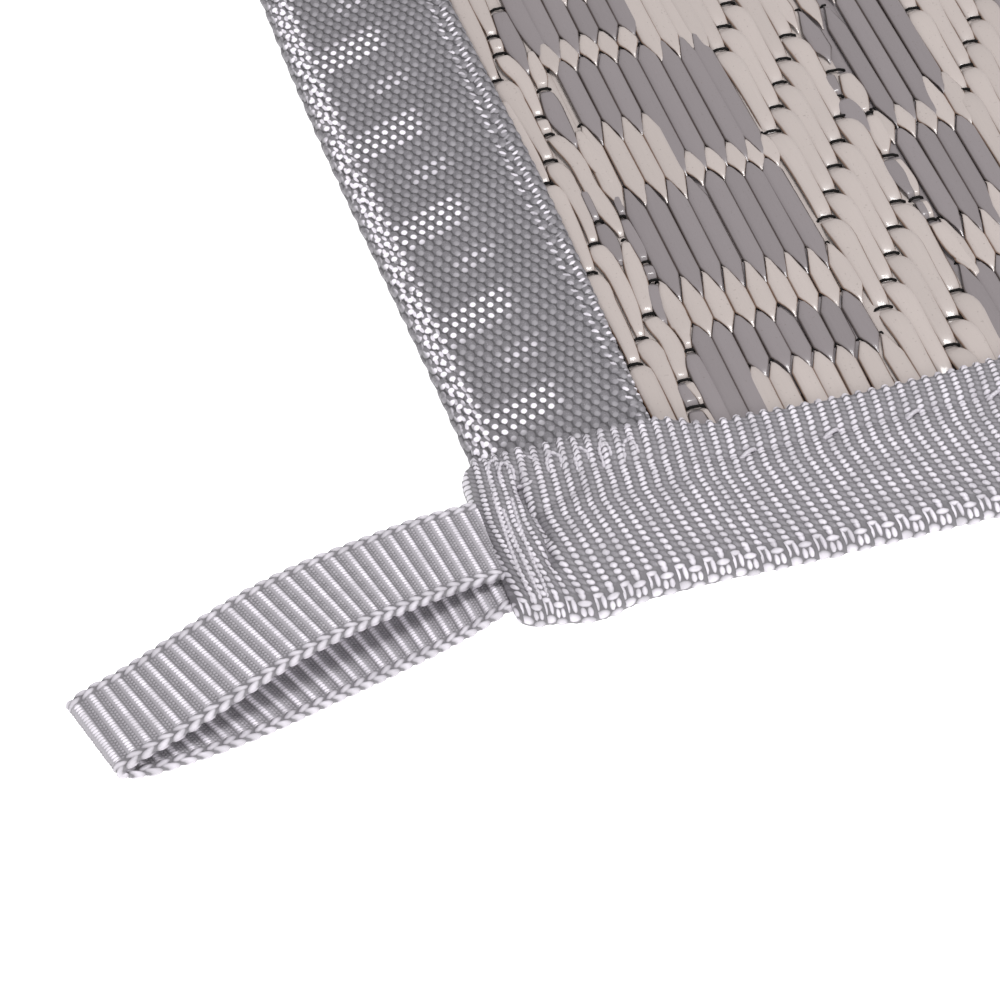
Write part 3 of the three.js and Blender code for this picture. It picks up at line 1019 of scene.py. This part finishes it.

# %% [markdown]
# The binding is polyester tape, folded over the mat's edge. Its yarns are bundles of fine bright
# filaments. On the short sides the weave shows as small scales on a slanted lattice, and a highlight
# is painted on the lower end of each scale in the bands where the tape is puckered towards the
# light. On the long sides it shows as cords across the tape, each a row of beads with painted
# highlights beside duller yarn. The loops are webbing with a dotted ridge on every rib and a braid
# along each edge. Each weave is one rule from a place on the tape to the yarn's height and to where
# it is glossier and a highlight is painted, so the same rule can lift the mesh near the corner and
# give colour, painted highlights and bump everywhere.

# %% Weave rules, for finishes and meshes alike
SCALE_RIGHT = (1.50, 0.55)      # from one scale to its neighbour on the right, in millimetres
SCALE_UP = (-0.80, 1.35)        # and to the one above
CORD_PITCH = 1.92
CORNER_ROPES = 5.2              # the cords are drawn closer together over this length at an end
CORD_TURN = 16.8                # this far in from the fold the cords stand straight
RIB_PITCH, RIB_DOT = 2.1, 0.47
BRAID_START = 5.45              # from the middle of the webbing
SELVEDGE = 26.3
SELVEDGE_PITCH = 1.2


def scales(inset, along):
    """Height of a side tape's scales, and where a highlight is painted on their lower ends."""
    det = SCALE_RIGHT[0] * SCALE_UP[1] - SCALE_RIGHT[1] * SCALE_UP[0]
    i = fraction((inset * SCALE_UP[1] - along * SCALE_UP[0]) * (1 / det))
    j = fraction((along * SCALE_RIGHT[0] - inset * SCALE_RIGHT[1]) * (1 / det))
    height, painted_glint = 0.0, 0.0
    for right, up in ((0, 0), (1, 0), (0, 1), (1, 1)):
        x = (i - right) * SCALE_RIGHT[0] + (j - up) * SCALE_UP[0]
        y = (i - right) * SCALE_RIGHT[1] + (j - up) * SCALE_UP[1]
        height = highest(pillow(x, y, 0.70, 1.04), height)
        painted_glint = highest(pillow(x, y + 0.58, 0.50, 0.44), painted_glint)
    return highest(selvedge_stitch(inset, along), height), painted_glint


def selvedge_stitch(inset, along):
    """The slanted stitches down a side tape's inner edge."""
    last = pillow(fraction(along * (1 / SELVEDGE_PITCH) - inset * 0.35) - 0.5, inset - SELVEDGE, 0.25, 0.6)
    before = pillow(fraction(along * 0.6 + inset * 0.4) - 0.5, inset - SELVEDGE + 1.6, 0.24, 0.5)
    return highest(last, before)


def cord_place(inset, along):
    """Where a place on a long tape is, in cords from the tape's end."""
    drawn = along + 0.37 * (CORNER_ROPES - highest(CORNER_ROPES - along, 0.0))
    return (drawn - 0.13 * abs(inset - CORD_TURN)) * (1 / CORD_PITCH) - 0.25


def cords(inset, along):
    """Height of a long tape's beaded cords, and where a highlight is painted on their beads."""
    place = cord_place(inset, along)
    turn = fraction(place)
    past = inset - 11.8
    row = inset * 0.85 + 0.2 * (root(past * past + 9.0) + past)
    tilt = 0.75 * soft_step(inset, 8.5, 14.0) - 0.35
    bead = pillow(turn - 0.30, fraction(row - (turn - 0.30) * tilt) - 0.5, 0.29, 0.46)
    body = pillow(turn - 0.80, fraction(row + turn * 0.9) - 0.5, 0.25, 0.50) * 0.62
    rim, rim_painted_glint = rim_cords(inset, place * 0.5)
    inner_part = soft_step(inset, 3.3, 3.9)
    painted_glint = bead * inner_part + rim_painted_glint * (1 - inner_part)
    height = highest(bead, body) * inner_part + rim * (1 - inner_part)
    return height, painted_glint


def rim_cords(inset, place):
    """The long tape's rim: every second cord makes an arch, the others a bar, over round beads."""
    double = fraction(place)
    pitch = 2 * CORD_PITCH
    arch = (double - 0.15) * pitch
    bar = (double - 0.65) * pitch
    arch_legs = pillow(abs(arch) - 0.52, inset - 2.15, 0.36, 1.10)
    arch_top = pillow(arch, inset - 3.10, 0.85, 0.38)
    bar_top = pillow(bar, inset - 2.35, 0.98, 0.44)
    bar_legs = pillow(abs(bar) - 0.44, inset - 1.20, 0.40, 0.78)
    above = pillow(bar, inset - 3.55, 0.50, 0.85)
    strands = highest(highest(arch_legs, arch_top), highest(highest(bar_top, bar_legs), above))
    below = highest(pillow(arch, inset - 0.30, 1.02, 0.85), pillow(bar, inset + 0.45, 1.02, 0.95))
    rest = pillow(fraction(place * 2) - 0.5, fraction(inset * 0.8) - 0.5, 0.48, 0.5)
    rest = rest * (1 - soft_step(inset, -1.4, -1.1))
    height = highest(highest(strands, below * 0.9), rest)
    return height, highest(strands * 0.9, below * 0.75)


def ribs(across, along):
    """Height of the webbing's ribs and braided edges, and where highlights are painted on their dotted ridges
    and braids.
    """
    turn = along * (1 / RIB_PITCH)
    phase = fraction(turn)
    place = across * (1 / RIB_DOT)
    even = fraction(place) - 0.5
    odd = fraction(place + 0.5) - 0.5
    bulge = pillow(phase - 0.32, 0.0, 0.32, 1.0)
    ridge = pillow(phase - 0.26, even, 0.20, 0.50)
    second = pillow(phase - 0.50, odd, 0.12, 0.46)
    third = pillow(phase - 0.70, even, 0.12, 0.46)
    fourth = pillow(phase - 0.89, odd, 0.10, 0.46)
    edge = abs(across) - BRAID_START
    inner = pillow(fraction(turn + edge * 0.55) - 0.5, edge - 0.32, 0.42, 0.46)
    outer = pillow(fraction(turn - edge * 0.55 + 0.4) - 0.5, edge - 0.98, 0.42, 0.46)
    braid = highest(inner, outer)
    face = 1 - soft_step(edge, -0.25, 0.0)
    weave = highest(highest(bulge * 0.7 + ridge * 0.3, second * 0.62), highest(third * 0.5, fourth * 0.42))
    height = weave * face + braid * (1 - face) * 0.85
    painted_glint = highest(ridge, highest(second, third) * 0.30) * face + braid * (1 - face) * 0.55
    return height, painted_glint


# %% Tape finishes
PUCKER_PITCH = 19.4
PUCKER_START = 34.0
PUCKER_SLANT = 0.38


def pucker_bands(inset, along):
    """Slanted bands across a side tape, 1 where the tape tilts towards the light."""
    return cosine((along - PUCKER_START - (inset - 9) * PUCKER_SLANT) * (2 * math.pi / PUCKER_PITCH))


def where_highlights_are_painted(inset, along, highlight_patchiness):
    """1 where a highlight is painted on a side tape: in the bands and along the rolled edge, where the tape
    would mirror the light.
    """
    bands = pucker_bands(inset, along)
    strong = bands.between(0.35, 0.90) * inset.between(3.5, 5.0) * (1 - inset.between(14.0, 17.0))
    weak = (0 - bands).between(0.75, 1.0) * inset.between(9.0, 12.5) * (1 - inset.between(15.5, 18.0)) * 0.55
    # Painted highlight along the rolled outer edge, which would mirror the white studio.
    rolled = inset.between(1.2, 1.9) * (1 - inset.between(4.2, 5.8)) * highlight_patchiness.between(0.26, 0.42)
    return highest(highest(strong * highlight_patchiness.between(0.12, 0.36), weak), rolled)


def yarn_finish(name, weave, tones):
    """Yarn from its weave rule, with the painted shade of its gaps, the tone of its body and the painted
    highlight of its glinting parts.
    """
    material, skin, start = new_finish(name)
    uv, inset, along = own_uv(start)
    height, painted_glint = weave(inset, along)
    # Noise that makes the painted highlights patchy.
    highlight_patchiness = uv.noise(0.28, 2.0)
    filaments = uv.stretched(5.0, 5.0, 1.0).noise(1.0, 3.0, 0.7)
    # Painted highlight: where the weave glints, the base colour is mixed towards a near-white tone, and the
    # yarn is also a little less rough.
    painted_shine = painted_glint.between(0.15, 0.85)
    if weave is scales:
        # Painted highlight in short streaks along the rolled outer edge.
        painted_streak = pillow(fraction(along * 0.62 + inset * 0.5) - 0.5, fraction(inset * 1.1) - 0.5, 0.45, 0.34)
        rolled = (1 - inset.between(3.6, 4.8)) * inset.between(1.2, 1.8) * highlight_patchiness.between(0.32, 0.50)
        painted_shine = painted_shine * (0.12 + 0.88 * where_highlights_are_painted(inset, along, highlight_patchiness))
        painted_shine = highest(painted_shine, painted_streak.between(0.3, 0.8) * rolled * 0.9)
        # Painted highlight on the selvedge stitches.
        stitch = selvedge_stitch(inset, along).between(0.3, 0.8) * highlight_patchiness.between(0.30, 0.60)
        painted_shine = highest(painted_shine, stitch * 0.85)
    else:
        painted_shine = painted_shine * (0.62 + 0.38 * highlight_patchiness.between(0.35, 0.6))
    gap, body, highlight_tone = tones
    # Painted shade: the low parts of the weave, between the yarns, take the dark gap tone.
    colour = height.between(0.05, 0.60).mixed(grey(gap), grey(body))
    # Painted sparkle of the filaments on the raised parts of the yarn, then the painted highlights, both
    # mixed into the base colour.
    painted_sparkle = filaments.between(0.50, 0.74) * height.between(0.2, 0.6) * 0.22
    colour = highest(painted_shine, painted_sparkle).mixed(colour, grey(highlight_tone))
    connect(skin, "Base Color", colour)
    connect(skin, "Roughness", 0.52 - 0.16 * painted_shine)
    set_plain(skin, Specular_IOR_Level=0.5)
    fine = attribute(start, "fine")
    threads = start.node("ShaderNodeBump", None, {"Strength": 0.30, "Distance": 0.00015, "Height": filaments})
    bump = start.node("ShaderNodeBump", None, {"Strength": 1 - 0.55 * fine, "Distance": 0.0003,
                                               "Height": height, "Normal": threads})
    connect(skin, "Normal", bump)
    return material


# Each finish's tones: painted shade in the gaps, the yarn's body, and its painted highlight.
side_tape_finish = yarn_finish("side_tape_yarn", scales, (0.32, 0.462, 0.97))
front_tape_finish = yarn_finish("long_tape_yarn", cords, (0.43, 0.535, 0.88))
webbing_finish = yarn_finish("webbing_yarn", ribs, (0.48, 0.645, 0.95))
print("tape finishes ready")

# %% [markdown]
# A folded tape is a section that changes slowly along the edge: the fold wanders in and out, the
# top puckers between stitches, and the long tapes rise at the corners, where they cover the side
# tape and the loop's ends. The same section and waves shape the CAD solid, so the tape drawn here
# fills it exactly, with a smooth curve through the section's corners. It stays one open sheet
# from its upper inner edge round the fold to its lower one, as real tape does.

# %% Tape sections
TAPE_LAYER = 1.0
TAPE_HEIGHT = 3.7
SIDE_WIDTH, FRONT_WIDTH, CORNER_WIDTH = 26.0, 24.7, 26.4
CORNER_HEIGHT = 5.5
OVERHANG = 1.65


def wave(along, size, start, length):
    return size * np.sin((along - start) * 2 * math.pi / length)


def pucker(along):
    return wave(along, 0.14, 0, 39) + wave(along, 0.08, 0, 71)


def tape_section(outer, inner, lower_inner, top, puckered, stitch, dip):
    """A folded tape's line at each station, from its upper inner edge round to its lower one."""
    corners = [
        (inner, top - TAPE_LAYER), (inner + 0.1, top - 0.5), (inner - 0.6, top - 0.05), (stitch + 1.6, top),
        (stitch, top - dip), (stitch - 1.6, top), (outer + (stitch - outer) * 0.55, top + puckered),
        (outer + 4.2, top + 0.4 * puckered), (outer + 1.9, top - 0.12), (outer + 0.5, top * 0.8),
        (outer, top * 0.5), (outer + 0.35, top * 0.22), (outer + 1.9, 0), (lower_inner, 0),
        (lower_inner, TAPE_LAYER),
    ]
    return np.stack([np.stack(np.broadcast_arrays(across, up, outer)[:2], -1) for across, up in corners], 1)


def side_section(along):
    scallops = 0.22 * np.abs(np.sin(along * math.pi / 4.4))
    return tape_section(
        outer=wave(along, -0.95, 66, 175) - scallops + 0.1, inner=SIDE_WIDTH + wave(along, 0.5, 45, 110),
        lower_inner=SIDE_WIDTH - 0.8, top=TAPE_HEIGHT, puckered=pucker(along + 20), stitch=21.5, dip=0.12)


def front_section(along):
    from_side = HALF_LENGTH - np.abs(along - HALF_LENGTH)
    raised = 1 - soft_step(from_side, 25, 34)
    tip = soft_step(from_side, -OVERHANG, 0.9)
    swell = 1.5 * np.exp(-(((from_side - 8.5) / 4.6) ** 2))
    outer = (wave(along, 0.35, 0, 83) + wave(along, 0.2, 0, 47)) * (1 - raised) - swell + 1.1 * (1 - tip)
    plain_inner = FRONT_WIDTH + wave(along, 0.45, 12, 64)
    inner = plain_inner + (CORNER_WIDTH - plain_inner) * raised - 1.2 * (1 - tip)
    top = TAPE_HEIGHT + (CORNER_HEIGHT - TAPE_HEIGHT) * raised - 0.5 * (1 - tip)
    return tape_section(
        outer=outer, inner=inner, lower_inner=FRONT_WIDTH, top=top, puckered=pucker(along),
        stitch=18.6, dip=0.48 * (1 - raised))


HIDDEN_STEP = 3.0


def smooth_through(corners, step):
    """Smooth curves through each station's corners, with the same number of points on all."""
    count = corners.shape[1]
    first_hidden = count - 4        # the last spans lie on the ground and need few points
    spans = np.linalg.norm(np.diff(corners, axis=1), axis=2).mean(axis=0)
    before = np.concatenate([corners[:, :1], corners[:, :-1]], 1)
    beyond = np.concatenate([corners[:, 1:], corners[:, -1:]], 1)
    parts = []
    for i in range(count - 1):
        wanted = step if i < first_hidden else HIDDEN_STEP
        steps = max(1, int(round(spans[i] / wanted)))
        t = (np.arange(steps) / steps)[None, :, None]
        start, end = corners[:, i, None], corners[:, i + 1, None]
        rise_start = (end - before[:, i, None]) / 2
        rise_end = (beyond[:, i + 1, None] - start) / 2
        parts.append(hermite(start, end, rise_start, rise_end, t))
    parts.append(corners[:, -1:])
    return np.concatenate(parts, 1)


# %% Puckers, dimples and seams
STITCH_PITCH = 11.8
STITCH_LINE = 18.4
FIRST_STITCH = 36.0


def bump_at(value, place, spread):
    """A smooth bump, 1 where the value is at the place."""
    return np.exp(-(((value - place) / spread) ** 2))


def within(value, start, full, fading, end):
    """1 between full and fading, with soft steps from start and to end."""
    return soft_step(value, start, full) * (1 - soft_step(value, fading, end))


def side_hump(inset, along):
    """How far a side tape is drawn up or down between its stitches."""
    inside = soft_step(inset, 2.5, 6.0) * (1 - soft_step(inset, 19.0, 23.0))
    groove = -0.30 * bump_at(inset, 22.9, 1.0) * (0.7 + 0.3 * np.cos(along * 0.43))
    return groove + inside * (0.20 * pucker_bands(inset, along)
                              + 0.07 * np.cos((along + 0.7 * inset) * 2 * math.pi / 9.3))


def front_hump(inset, along):
    """The dimples of a long tape's stitches, and the seam that closes each end."""
    from_side = HALF_LENGTH - np.abs(along - HALF_LENGTH)
    away = (fraction((from_side - FIRST_STITCH + 1.9) / STITCH_PITCH + 0.5) - 0.5) * STITCH_PITCH
    stitched = soft_step(from_side, 20, 26)
    dimple = -0.42 * bump_at(away, 0, 1.1) * bump_at(inset, STITCH_LINE + 1.4, 1.0) * stitched
    swell = -0.14 * np.cos(away * 2 * math.pi / STITCH_PITCH) * bump_at(inset, 14.5, 4.0) * stitched
    seam = -1.05 * bump_at(from_side, 5.0 + 0.5 * np.cos(inset * 0.5), 0.62) * within(inset, 4, 6.5, 21, 23.5)
    bulge = 0.50 * bump_at(from_side, 9.5, 3.6) * within(inset, 3.5, 8, 15, 19)
    trough = -0.45 * bump_at(inset, 21.8 - 0.17 * (from_side - 8), 1.5) * within(from_side, 9, 13, 24, 28)
    branch = -0.45 * bump_at(inset, 15.0 + 0.35 * (from_side - 5), 0.9) * within(from_side, 4, 6, 10, 14)
    gathered = 0.22 * np.cos(from_side * 2 * math.pi / 6.3 + 0.25 * inset) * soft_step(inset, 15, 20)
    gathered = gathered * (1 - soft_step(from_side, 18, 27))
    return dimple + swell + seam + bulge + trough + branch + gathered


# %% Build the tapes
SIDE_END = CORNER_WIDTH + 0.9          # the short tapes stop where the long ones begin
SIDE_RELIEF, FRONT_RELIEF = 0.26, 0.36
SIDE_FINE_TO = 142.0
FRONT_FINE_TO = 82.0
FINE_STEP = 0.26
PLAIN_STEP = 1.0                # round the section of a tape with no fine part
REST_STEP_ALONG = 4.5           # along a tape past its fine part
PLAIN_STEP_ALONG = 2.4          # and along one that has none
END_ROUNDING = 1.3
SCALLOP = 0.32                  # how far the cords stand out along a long tape's inner edge


def closed_ends(section, along, low_end, high_end):
    """Draws a tape's section together at its two ends, as a folded end closes."""
    from_end = np.minimum(along - low_end, high_end - along)
    share = np.clip(from_end / END_ROUNDING, 0, 1)
    open_share = np.sqrt(1 - (1 - share) ** 2)[:, None]
    middle = 0.5 * section[:, :, 1].max(axis=1, keepdims=True)
    section[:, :, 1] = middle + (section[:, :, 1] - middle) * open_share
    return section


def places_along(low_end, high_end, fine_to, coarse_step):
    """Stations along a tape: close together up to fine_to and at both ends, wide apart between."""
    ends = np.array([0, 0.12, 0.4, 0.8, 1.3, 2, 3, 4, 5, 6.2, 7.5, 9, 11, 13, 16, 20, 24, 28, 31, 34])
    coarse = np.linspace(low_end, high_end, int((high_end - low_end) / coarse_step))
    places = np.concatenate([coarse, low_end + ends, high_end - ends])
    if fine_to > low_end:
        fine = np.arange(low_end + 0.1, fine_to, FINE_STEP)
        places = np.concatenate([places[places > fine_to], [low_end, low_end + 0.04], fine])
    return np.unique(places)


def grid_normals(points):
    normal = np.cross(np.gradient(points, axis=1), np.gradient(points, axis=0))
    return normal / np.maximum(np.linalg.norm(normal, axis=2, keepdims=True), 1e-9)


def make_tape(name, kind, turned, fine):
    """A binding tape along the left or the front edge, or turned to the edge across from it."""
    side = kind == "side"
    low_end, high_end = (SIDE_END, RUG_WIDTH - SIDE_END) if side else (-OVERHANG, RUG_LENGTH + OVERHANG)
    fine_to = (SIDE_FINE_TO if side else FRONT_FINE_TO) if fine else low_end
    along = places_along(low_end, high_end, fine_to, REST_STEP_ALONG if fine else PLAIN_STEP_ALONG)
    if side:
        section = side_section(along)
    else:
        section = closed_ends(front_section(along), along, low_end, high_end)
    outline = smooth_through(section, FINE_STEP if fine else PLAIN_STEP)
    across, up = outline[:, :, 0], outline[:, :, 1]
    far = np.broadcast_to(along[:, None], across.shape)
    on_top = soft_step(up, 0.5, 0.85 * up.max())
    up = up + on_top * (side_hump if side else front_hump)(across, far)
    steps = np.linalg.norm(np.diff(outline, axis=1), axis=2)
    travelled = np.concatenate([np.zeros((len(along), 1)), np.cumsum(steps, axis=1)], 1)
    fold = int(np.argmin(across.mean(axis=0)))
    inset = travelled[:, fold:fold + 1] - travelled     # from the fold inwards, below 0 underneath
    fade = (1 - soft_step(far, fine_to - 6, fine_to)) if fine else np.zeros_like(far)
    if side:
        points = np.stack([across - HALF_LENGTH, far - HALF_WIDTH, up], -1)[:, ::-1]
        inset, far, fade = inset[:, ::-1], far[:, ::-1], fade[:, ::-1]
        relief = SIDE_RELIEF * scales(inset, far)[0] * soft_step(inset, -0.8, 0.8)
    else:
        scallop = np.cos((cord_place(inset, far) - 0.3) * 2 * math.pi)
        across = across + SCALLOP * scallop * fade * soft_step(inset, 23.6, 26.8)
        points = np.stack([far - HALF_LENGTH, across - HALF_WIDTH, up], -1)
        relief = FRONT_RELIEF * cords(inset, far)[0]
    shown = fade * soft_step(far, low_end, low_end + 1.5) * soft_step(points[:, :, 2], 0.3, 1.0)
    points = points + grid_normals(points) * (relief * shown)[:, :, None]
    if turned:
        points = points * np.array([-1, -1, 1])
    finish = side_tape_finish if side else front_tape_finish
    return grid_piece(name, points, np.stack([inset, far], -1), finish, fade)


tape_left = make_tape("tape_left", "side", False, True)
tape_front = make_tape("tape_front", "front", False, True)
tape_right = make_tape("tape_right", "side", True, False)
tape_back = make_tape("tape_back", "front", True, False)

# %% [markdown]
# The sewing thread comes up in the long tapes' trough, crosses slantwise and dives again. At the
# corners the tape's outermost cords stand out as ropes, which turn round in arches at its inner
# edge. Stitches and ropes are real strands, swept with the same tree as the ties.

# %% Stitches and corner ropes
ROPES = (                       # places of each rope, along and in from the corner
    [(0.5, 0.4), (0.3, 4), (0.3, 9), (0.6, 15), (1, 20), (1.8, 24.4), (2.6, 25.9), (3.4, 26.1), (3.7, 25)],
    [(2.5, 20.5), (3, 23.6), (3.9, 24.9), (4.7, 24), (4.7, 22)],
    [(6, 21), (6.1, 24), (6.9, 25.1), (7.9, 24.4), (8, 22.4)],
    [(9.2, 21), (9.7, 23.8), (10.5, 24.7), (11.3, 24), (11.2, 22)],
    [(13, 20.6), (13.5, 23.5), (14.3, 24.4), (15, 23.5), (14.9, 21.6)],
    [(16.6, 20.6), (16.9, 23.6), (17.6, 24.7), (18.1, 23.4), (17.9, 21.4)],
    [(19.5, 20.2), (20.2, 23.2), (21, 24), (21.6, 22.8), (21.5, 20.8)],
    [(3.2, 19.5), (2.7, 14), (2.4, 8), (2.5, 3), (2.4, 0.6)],
    [(1.5, 18), (1.3, 12), (1.3, 6), (1.5, 0.6)],
    [(4.6, 20.9), (5.4, 20.3), (6.6, 20.6), (7.8, 21.2)],
)
ROPE_HALF, ROPE_BEAD = 0.27, 0.80
STITCH_LENGTH = 2.3
STITCH_HALF = 0.30


def sewing_finish():
    material, skin, start = new_finish("sewing_thread")
    twist = start.stretched(4000, 4000, 4000).noise(1.0, 2.0)
    connect(skin, "Base Color", twist.mixed(grey(0.62), grey(0.90)))
    connect(skin, "Roughness", 0.4 + 0.2 * twist)
    return material


def corner_top(inset):
    """The long tape's height at the corner, this far in from the edge."""
    return np.interp(inset, [0, 0.5, 1.9, 4.2, 25.2, 26.2], [2.7, 4.3, 5.3, 5.45, 5.45, 4.9])


def rope_line(places):
    """A beaded rope on the corner, with its points and half widths."""
    places = np.array(places, float)
    steps = np.concatenate([[0], np.cumsum(np.hypot(*np.diff(places, axis=0).T))])
    wanted = np.arange(0, steps[-1], ROPE_BEAD / 6)
    along, inset = (curve_through(steps, places[:, i], wanted) for i in (0, 1))
    from_end = np.minimum(wanted, steps[-1] - wanted)
    height = corner_top(inset) + 0.16 - 0.7 * (1 - soft_step(from_end, 0, 1.2))
    half = ROPE_HALF * (0.50 + 0.62 * np.abs(np.sin(wanted * math.pi / ROPE_BEAD)))
    return np.stack([along, inset, height], -1), half


def stitch_line(along, inset):
    shares = np.array([-0.6, -0.45, -0.22, 0.0, 0.22, 0.45, 0.6])
    heights = TAPE_HEIGHT + 0.02 + np.array([-0.8, -0.15, 0.08, 0.12, 0.08, -0.15, -0.8])
    points = np.stack([along + shares * STITCH_LENGTH, inset + shares * 1.1, heights], -1)
    return points, np.full(len(shares), STITCH_HALF)


def make_stitches():
    shapes = [rope_line(places) for places in ROPES]
    count = int((RUG_LENGTH - 2 * FIRST_STITCH) / STITCH_PITCH) + 1
    shapes += [stitch_line(FIRST_STITCH + i * STITCH_PITCH, STITCH_LINE) for i in range(count)]
    shapes.append(stitch_line(28.4, STITCH_LINE - 0.4))
    lines = []
    for turn in (1, -1):
        for points, half in shapes:
            line = (points - np.array([HALF_LENGTH, HALF_WIDTH, 0])) * np.array([turn, turn, 1])
            lines.append((line * MM, half * MM, np.zeros(len(line)), 0.5))
    values = {"Points across": 7, "Finish": sewing_finish()}
    return baked(lines_mesh("stitches_lines", lines), thread_sweep, "stitches", values)


stitches = make_stitches()

# %% [markdown]
# The loops are ribbed webbing, folded in half and sewn in at the corner. The line of points is
# the middle of the band, from its upper sewn end over the arch, round the fold and back along
# the ground. It is the same line as in the CAD, 136 mm long. The band twists a little, so each
# point has the angle of the ribs too. The first loop is the one that the camera sees, so its
# grid is the finest.

# %% Loops
WEBBING = [                     # out from the side, along from the front edge, height, turn in degrees
    (-8, 15.2, 3.52, 6), (1.2, 14.2, 3.56, 6), (8, 13.2, 4.4, 8), (17, 10.5, 6.05, 13), (25, 8.1, 7.15, 19),
    (33, 5.7, 7.15, 22), (42, 2.9, 5.75, 23), (50, 0.8, 3.9, 19), (55.2, -0.4, 3.05, 16),
    (57.4, -0.9, 1.85, 16), (55, -1, 0.8, 17), (49, -0.8, 0.7, 21), (40, 0.4, 0.7, 24),
    (28, 3.3, 0.7, 20), (14, 6.9, 0.7, 10), (8, 8.6, 0.85, 7), (3, 10, 1.78, 6),
    (-1, 11.1, 1.95, 6), (-8, 13.2, 1.95, 6),
]
LOOP_WIDTH, LOOP_THICKNESS, LOOP_RELIEF = 13.4, 0.70, 0.40


def even_line(points, count):
    """A smooth line through the points, read at even steps of its length."""
    points = np.asarray(points, float)
    gaps = np.linalg.norm(np.diff(points[:, :3], axis=0), axis=1) ** 0.5
    knots = np.concatenate([[0], np.cumsum(gaps)])
    fine = np.linspace(0, knots[-1], 4000)
    dense = np.stack([curve_through(knots, points[:, i], fine) for i in range(points.shape[1])], -1)
    length = np.concatenate([[0], np.cumsum(np.linalg.norm(np.diff(dense[:, :3], axis=0), axis=1))])
    even = np.linspace(0, length[-1], count)
    return np.stack([np.interp(even, length, dense[:, i]) for i in range(points.shape[1])], -1), even


def make_loop(name, sign_x, sign_y, step):
    raw = [(-out - HALF_LENGTH, along - HALF_WIDTH, high, turn) for out, along, high, turn in WEBBING]
    length = even_line(raw, 50)[1][-1]
    line, even = even_line(raw, int(length / step))
    turn = np.radians(line[:, 3])
    tangent = np.gradient(line[:, :3], axis=0)
    tangent /= np.linalg.norm(tangent, axis=1, keepdims=True)
    sideways = np.stack([-np.sin(turn), np.cos(turn), 0 * turn], -1)
    outwards = np.cross(tangent, sideways)
    outwards /= np.linalg.norm(outwards, axis=1, keepdims=True)
    half = LOOP_WIDTH / 2
    face = np.linspace(0.15 - half, half - 0.15, max(15, int(LOOP_WIDTH / step)))
    across = np.concatenate([face, [half], face[::-1], [-half]])
    side = np.concatenate([np.ones(len(face)), [0], -np.ones(len(face)), [0]])
    rule_across = np.broadcast_to(across[None, :], (len(even), len(across)))
    rule_along = np.broadcast_to(even[:, None], rule_across.shape)
    relief = ribs(rule_across, rule_along)[0]
    thin = 1 - 0.45 * soft_step(np.abs(across), half - 0.5, half)
    offset = side[None, :] * (LOOP_THICKNESS / 2 * thin[None, :] + LOOP_RELIEF * relief)
    at_edge = np.abs(across) > half - 0.7
    wander = across[None, :] + np.sign(across)[None, :] * 0.16 * relief * at_edge[None, :]
    points = line[:, None, :3] + sideways[:, None] * wander[..., None] + outwards[:, None] * offset[..., None]
    points = points * np.array([-sign_x, -sign_y, 1])
    uv = np.stack([rule_across, rule_along], -1)
    fine = np.full(rule_across.shape, 0.8)
    if sign_x * sign_y > 0:
        points, uv = points[:, ::-1], uv[:, ::-1]
    return grid_piece(name, points, uv, webbing_finish, fine, closed_across=True)


loop_front_left = make_loop("webbing_front_left", -1, -1, 0.26)
loop_front_right = make_loop("webbing_front_right", 1, -1, 0.5)
loop_back_left = make_loop("webbing_back_left", -1, 1, 0.5)
loop_back_right = make_loop("webbing_back_right", 1, 1, 0.5)

# %% [markdown]
# Every piece rides on the rug's one body, and the CAD parts that the mat, tapes and loops stand in
# for are hidden. The tapes were cut twice as wide as they show, because they are folded over the
# mat's edge.

# %% Hand the pieces over
tapes = (tape_left, tape_front, tape_right, tape_back)
loops = (loop_front_left, loop_front_right, loop_back_left, loop_back_right)
ride_on_rug = [mat_ground, *straw_pieces, *tie_pieces, *tapes, stitches, *loops]
for piece in ride_on_rug:
    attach(piece, "root")
for piece in tapes:
    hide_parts(piece.name.replace("tape", "binding"))
for piece in loops:
    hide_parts(piece.name.replace("webbing", "loop"))
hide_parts("mat")
print("pieces", len(ride_on_rug))
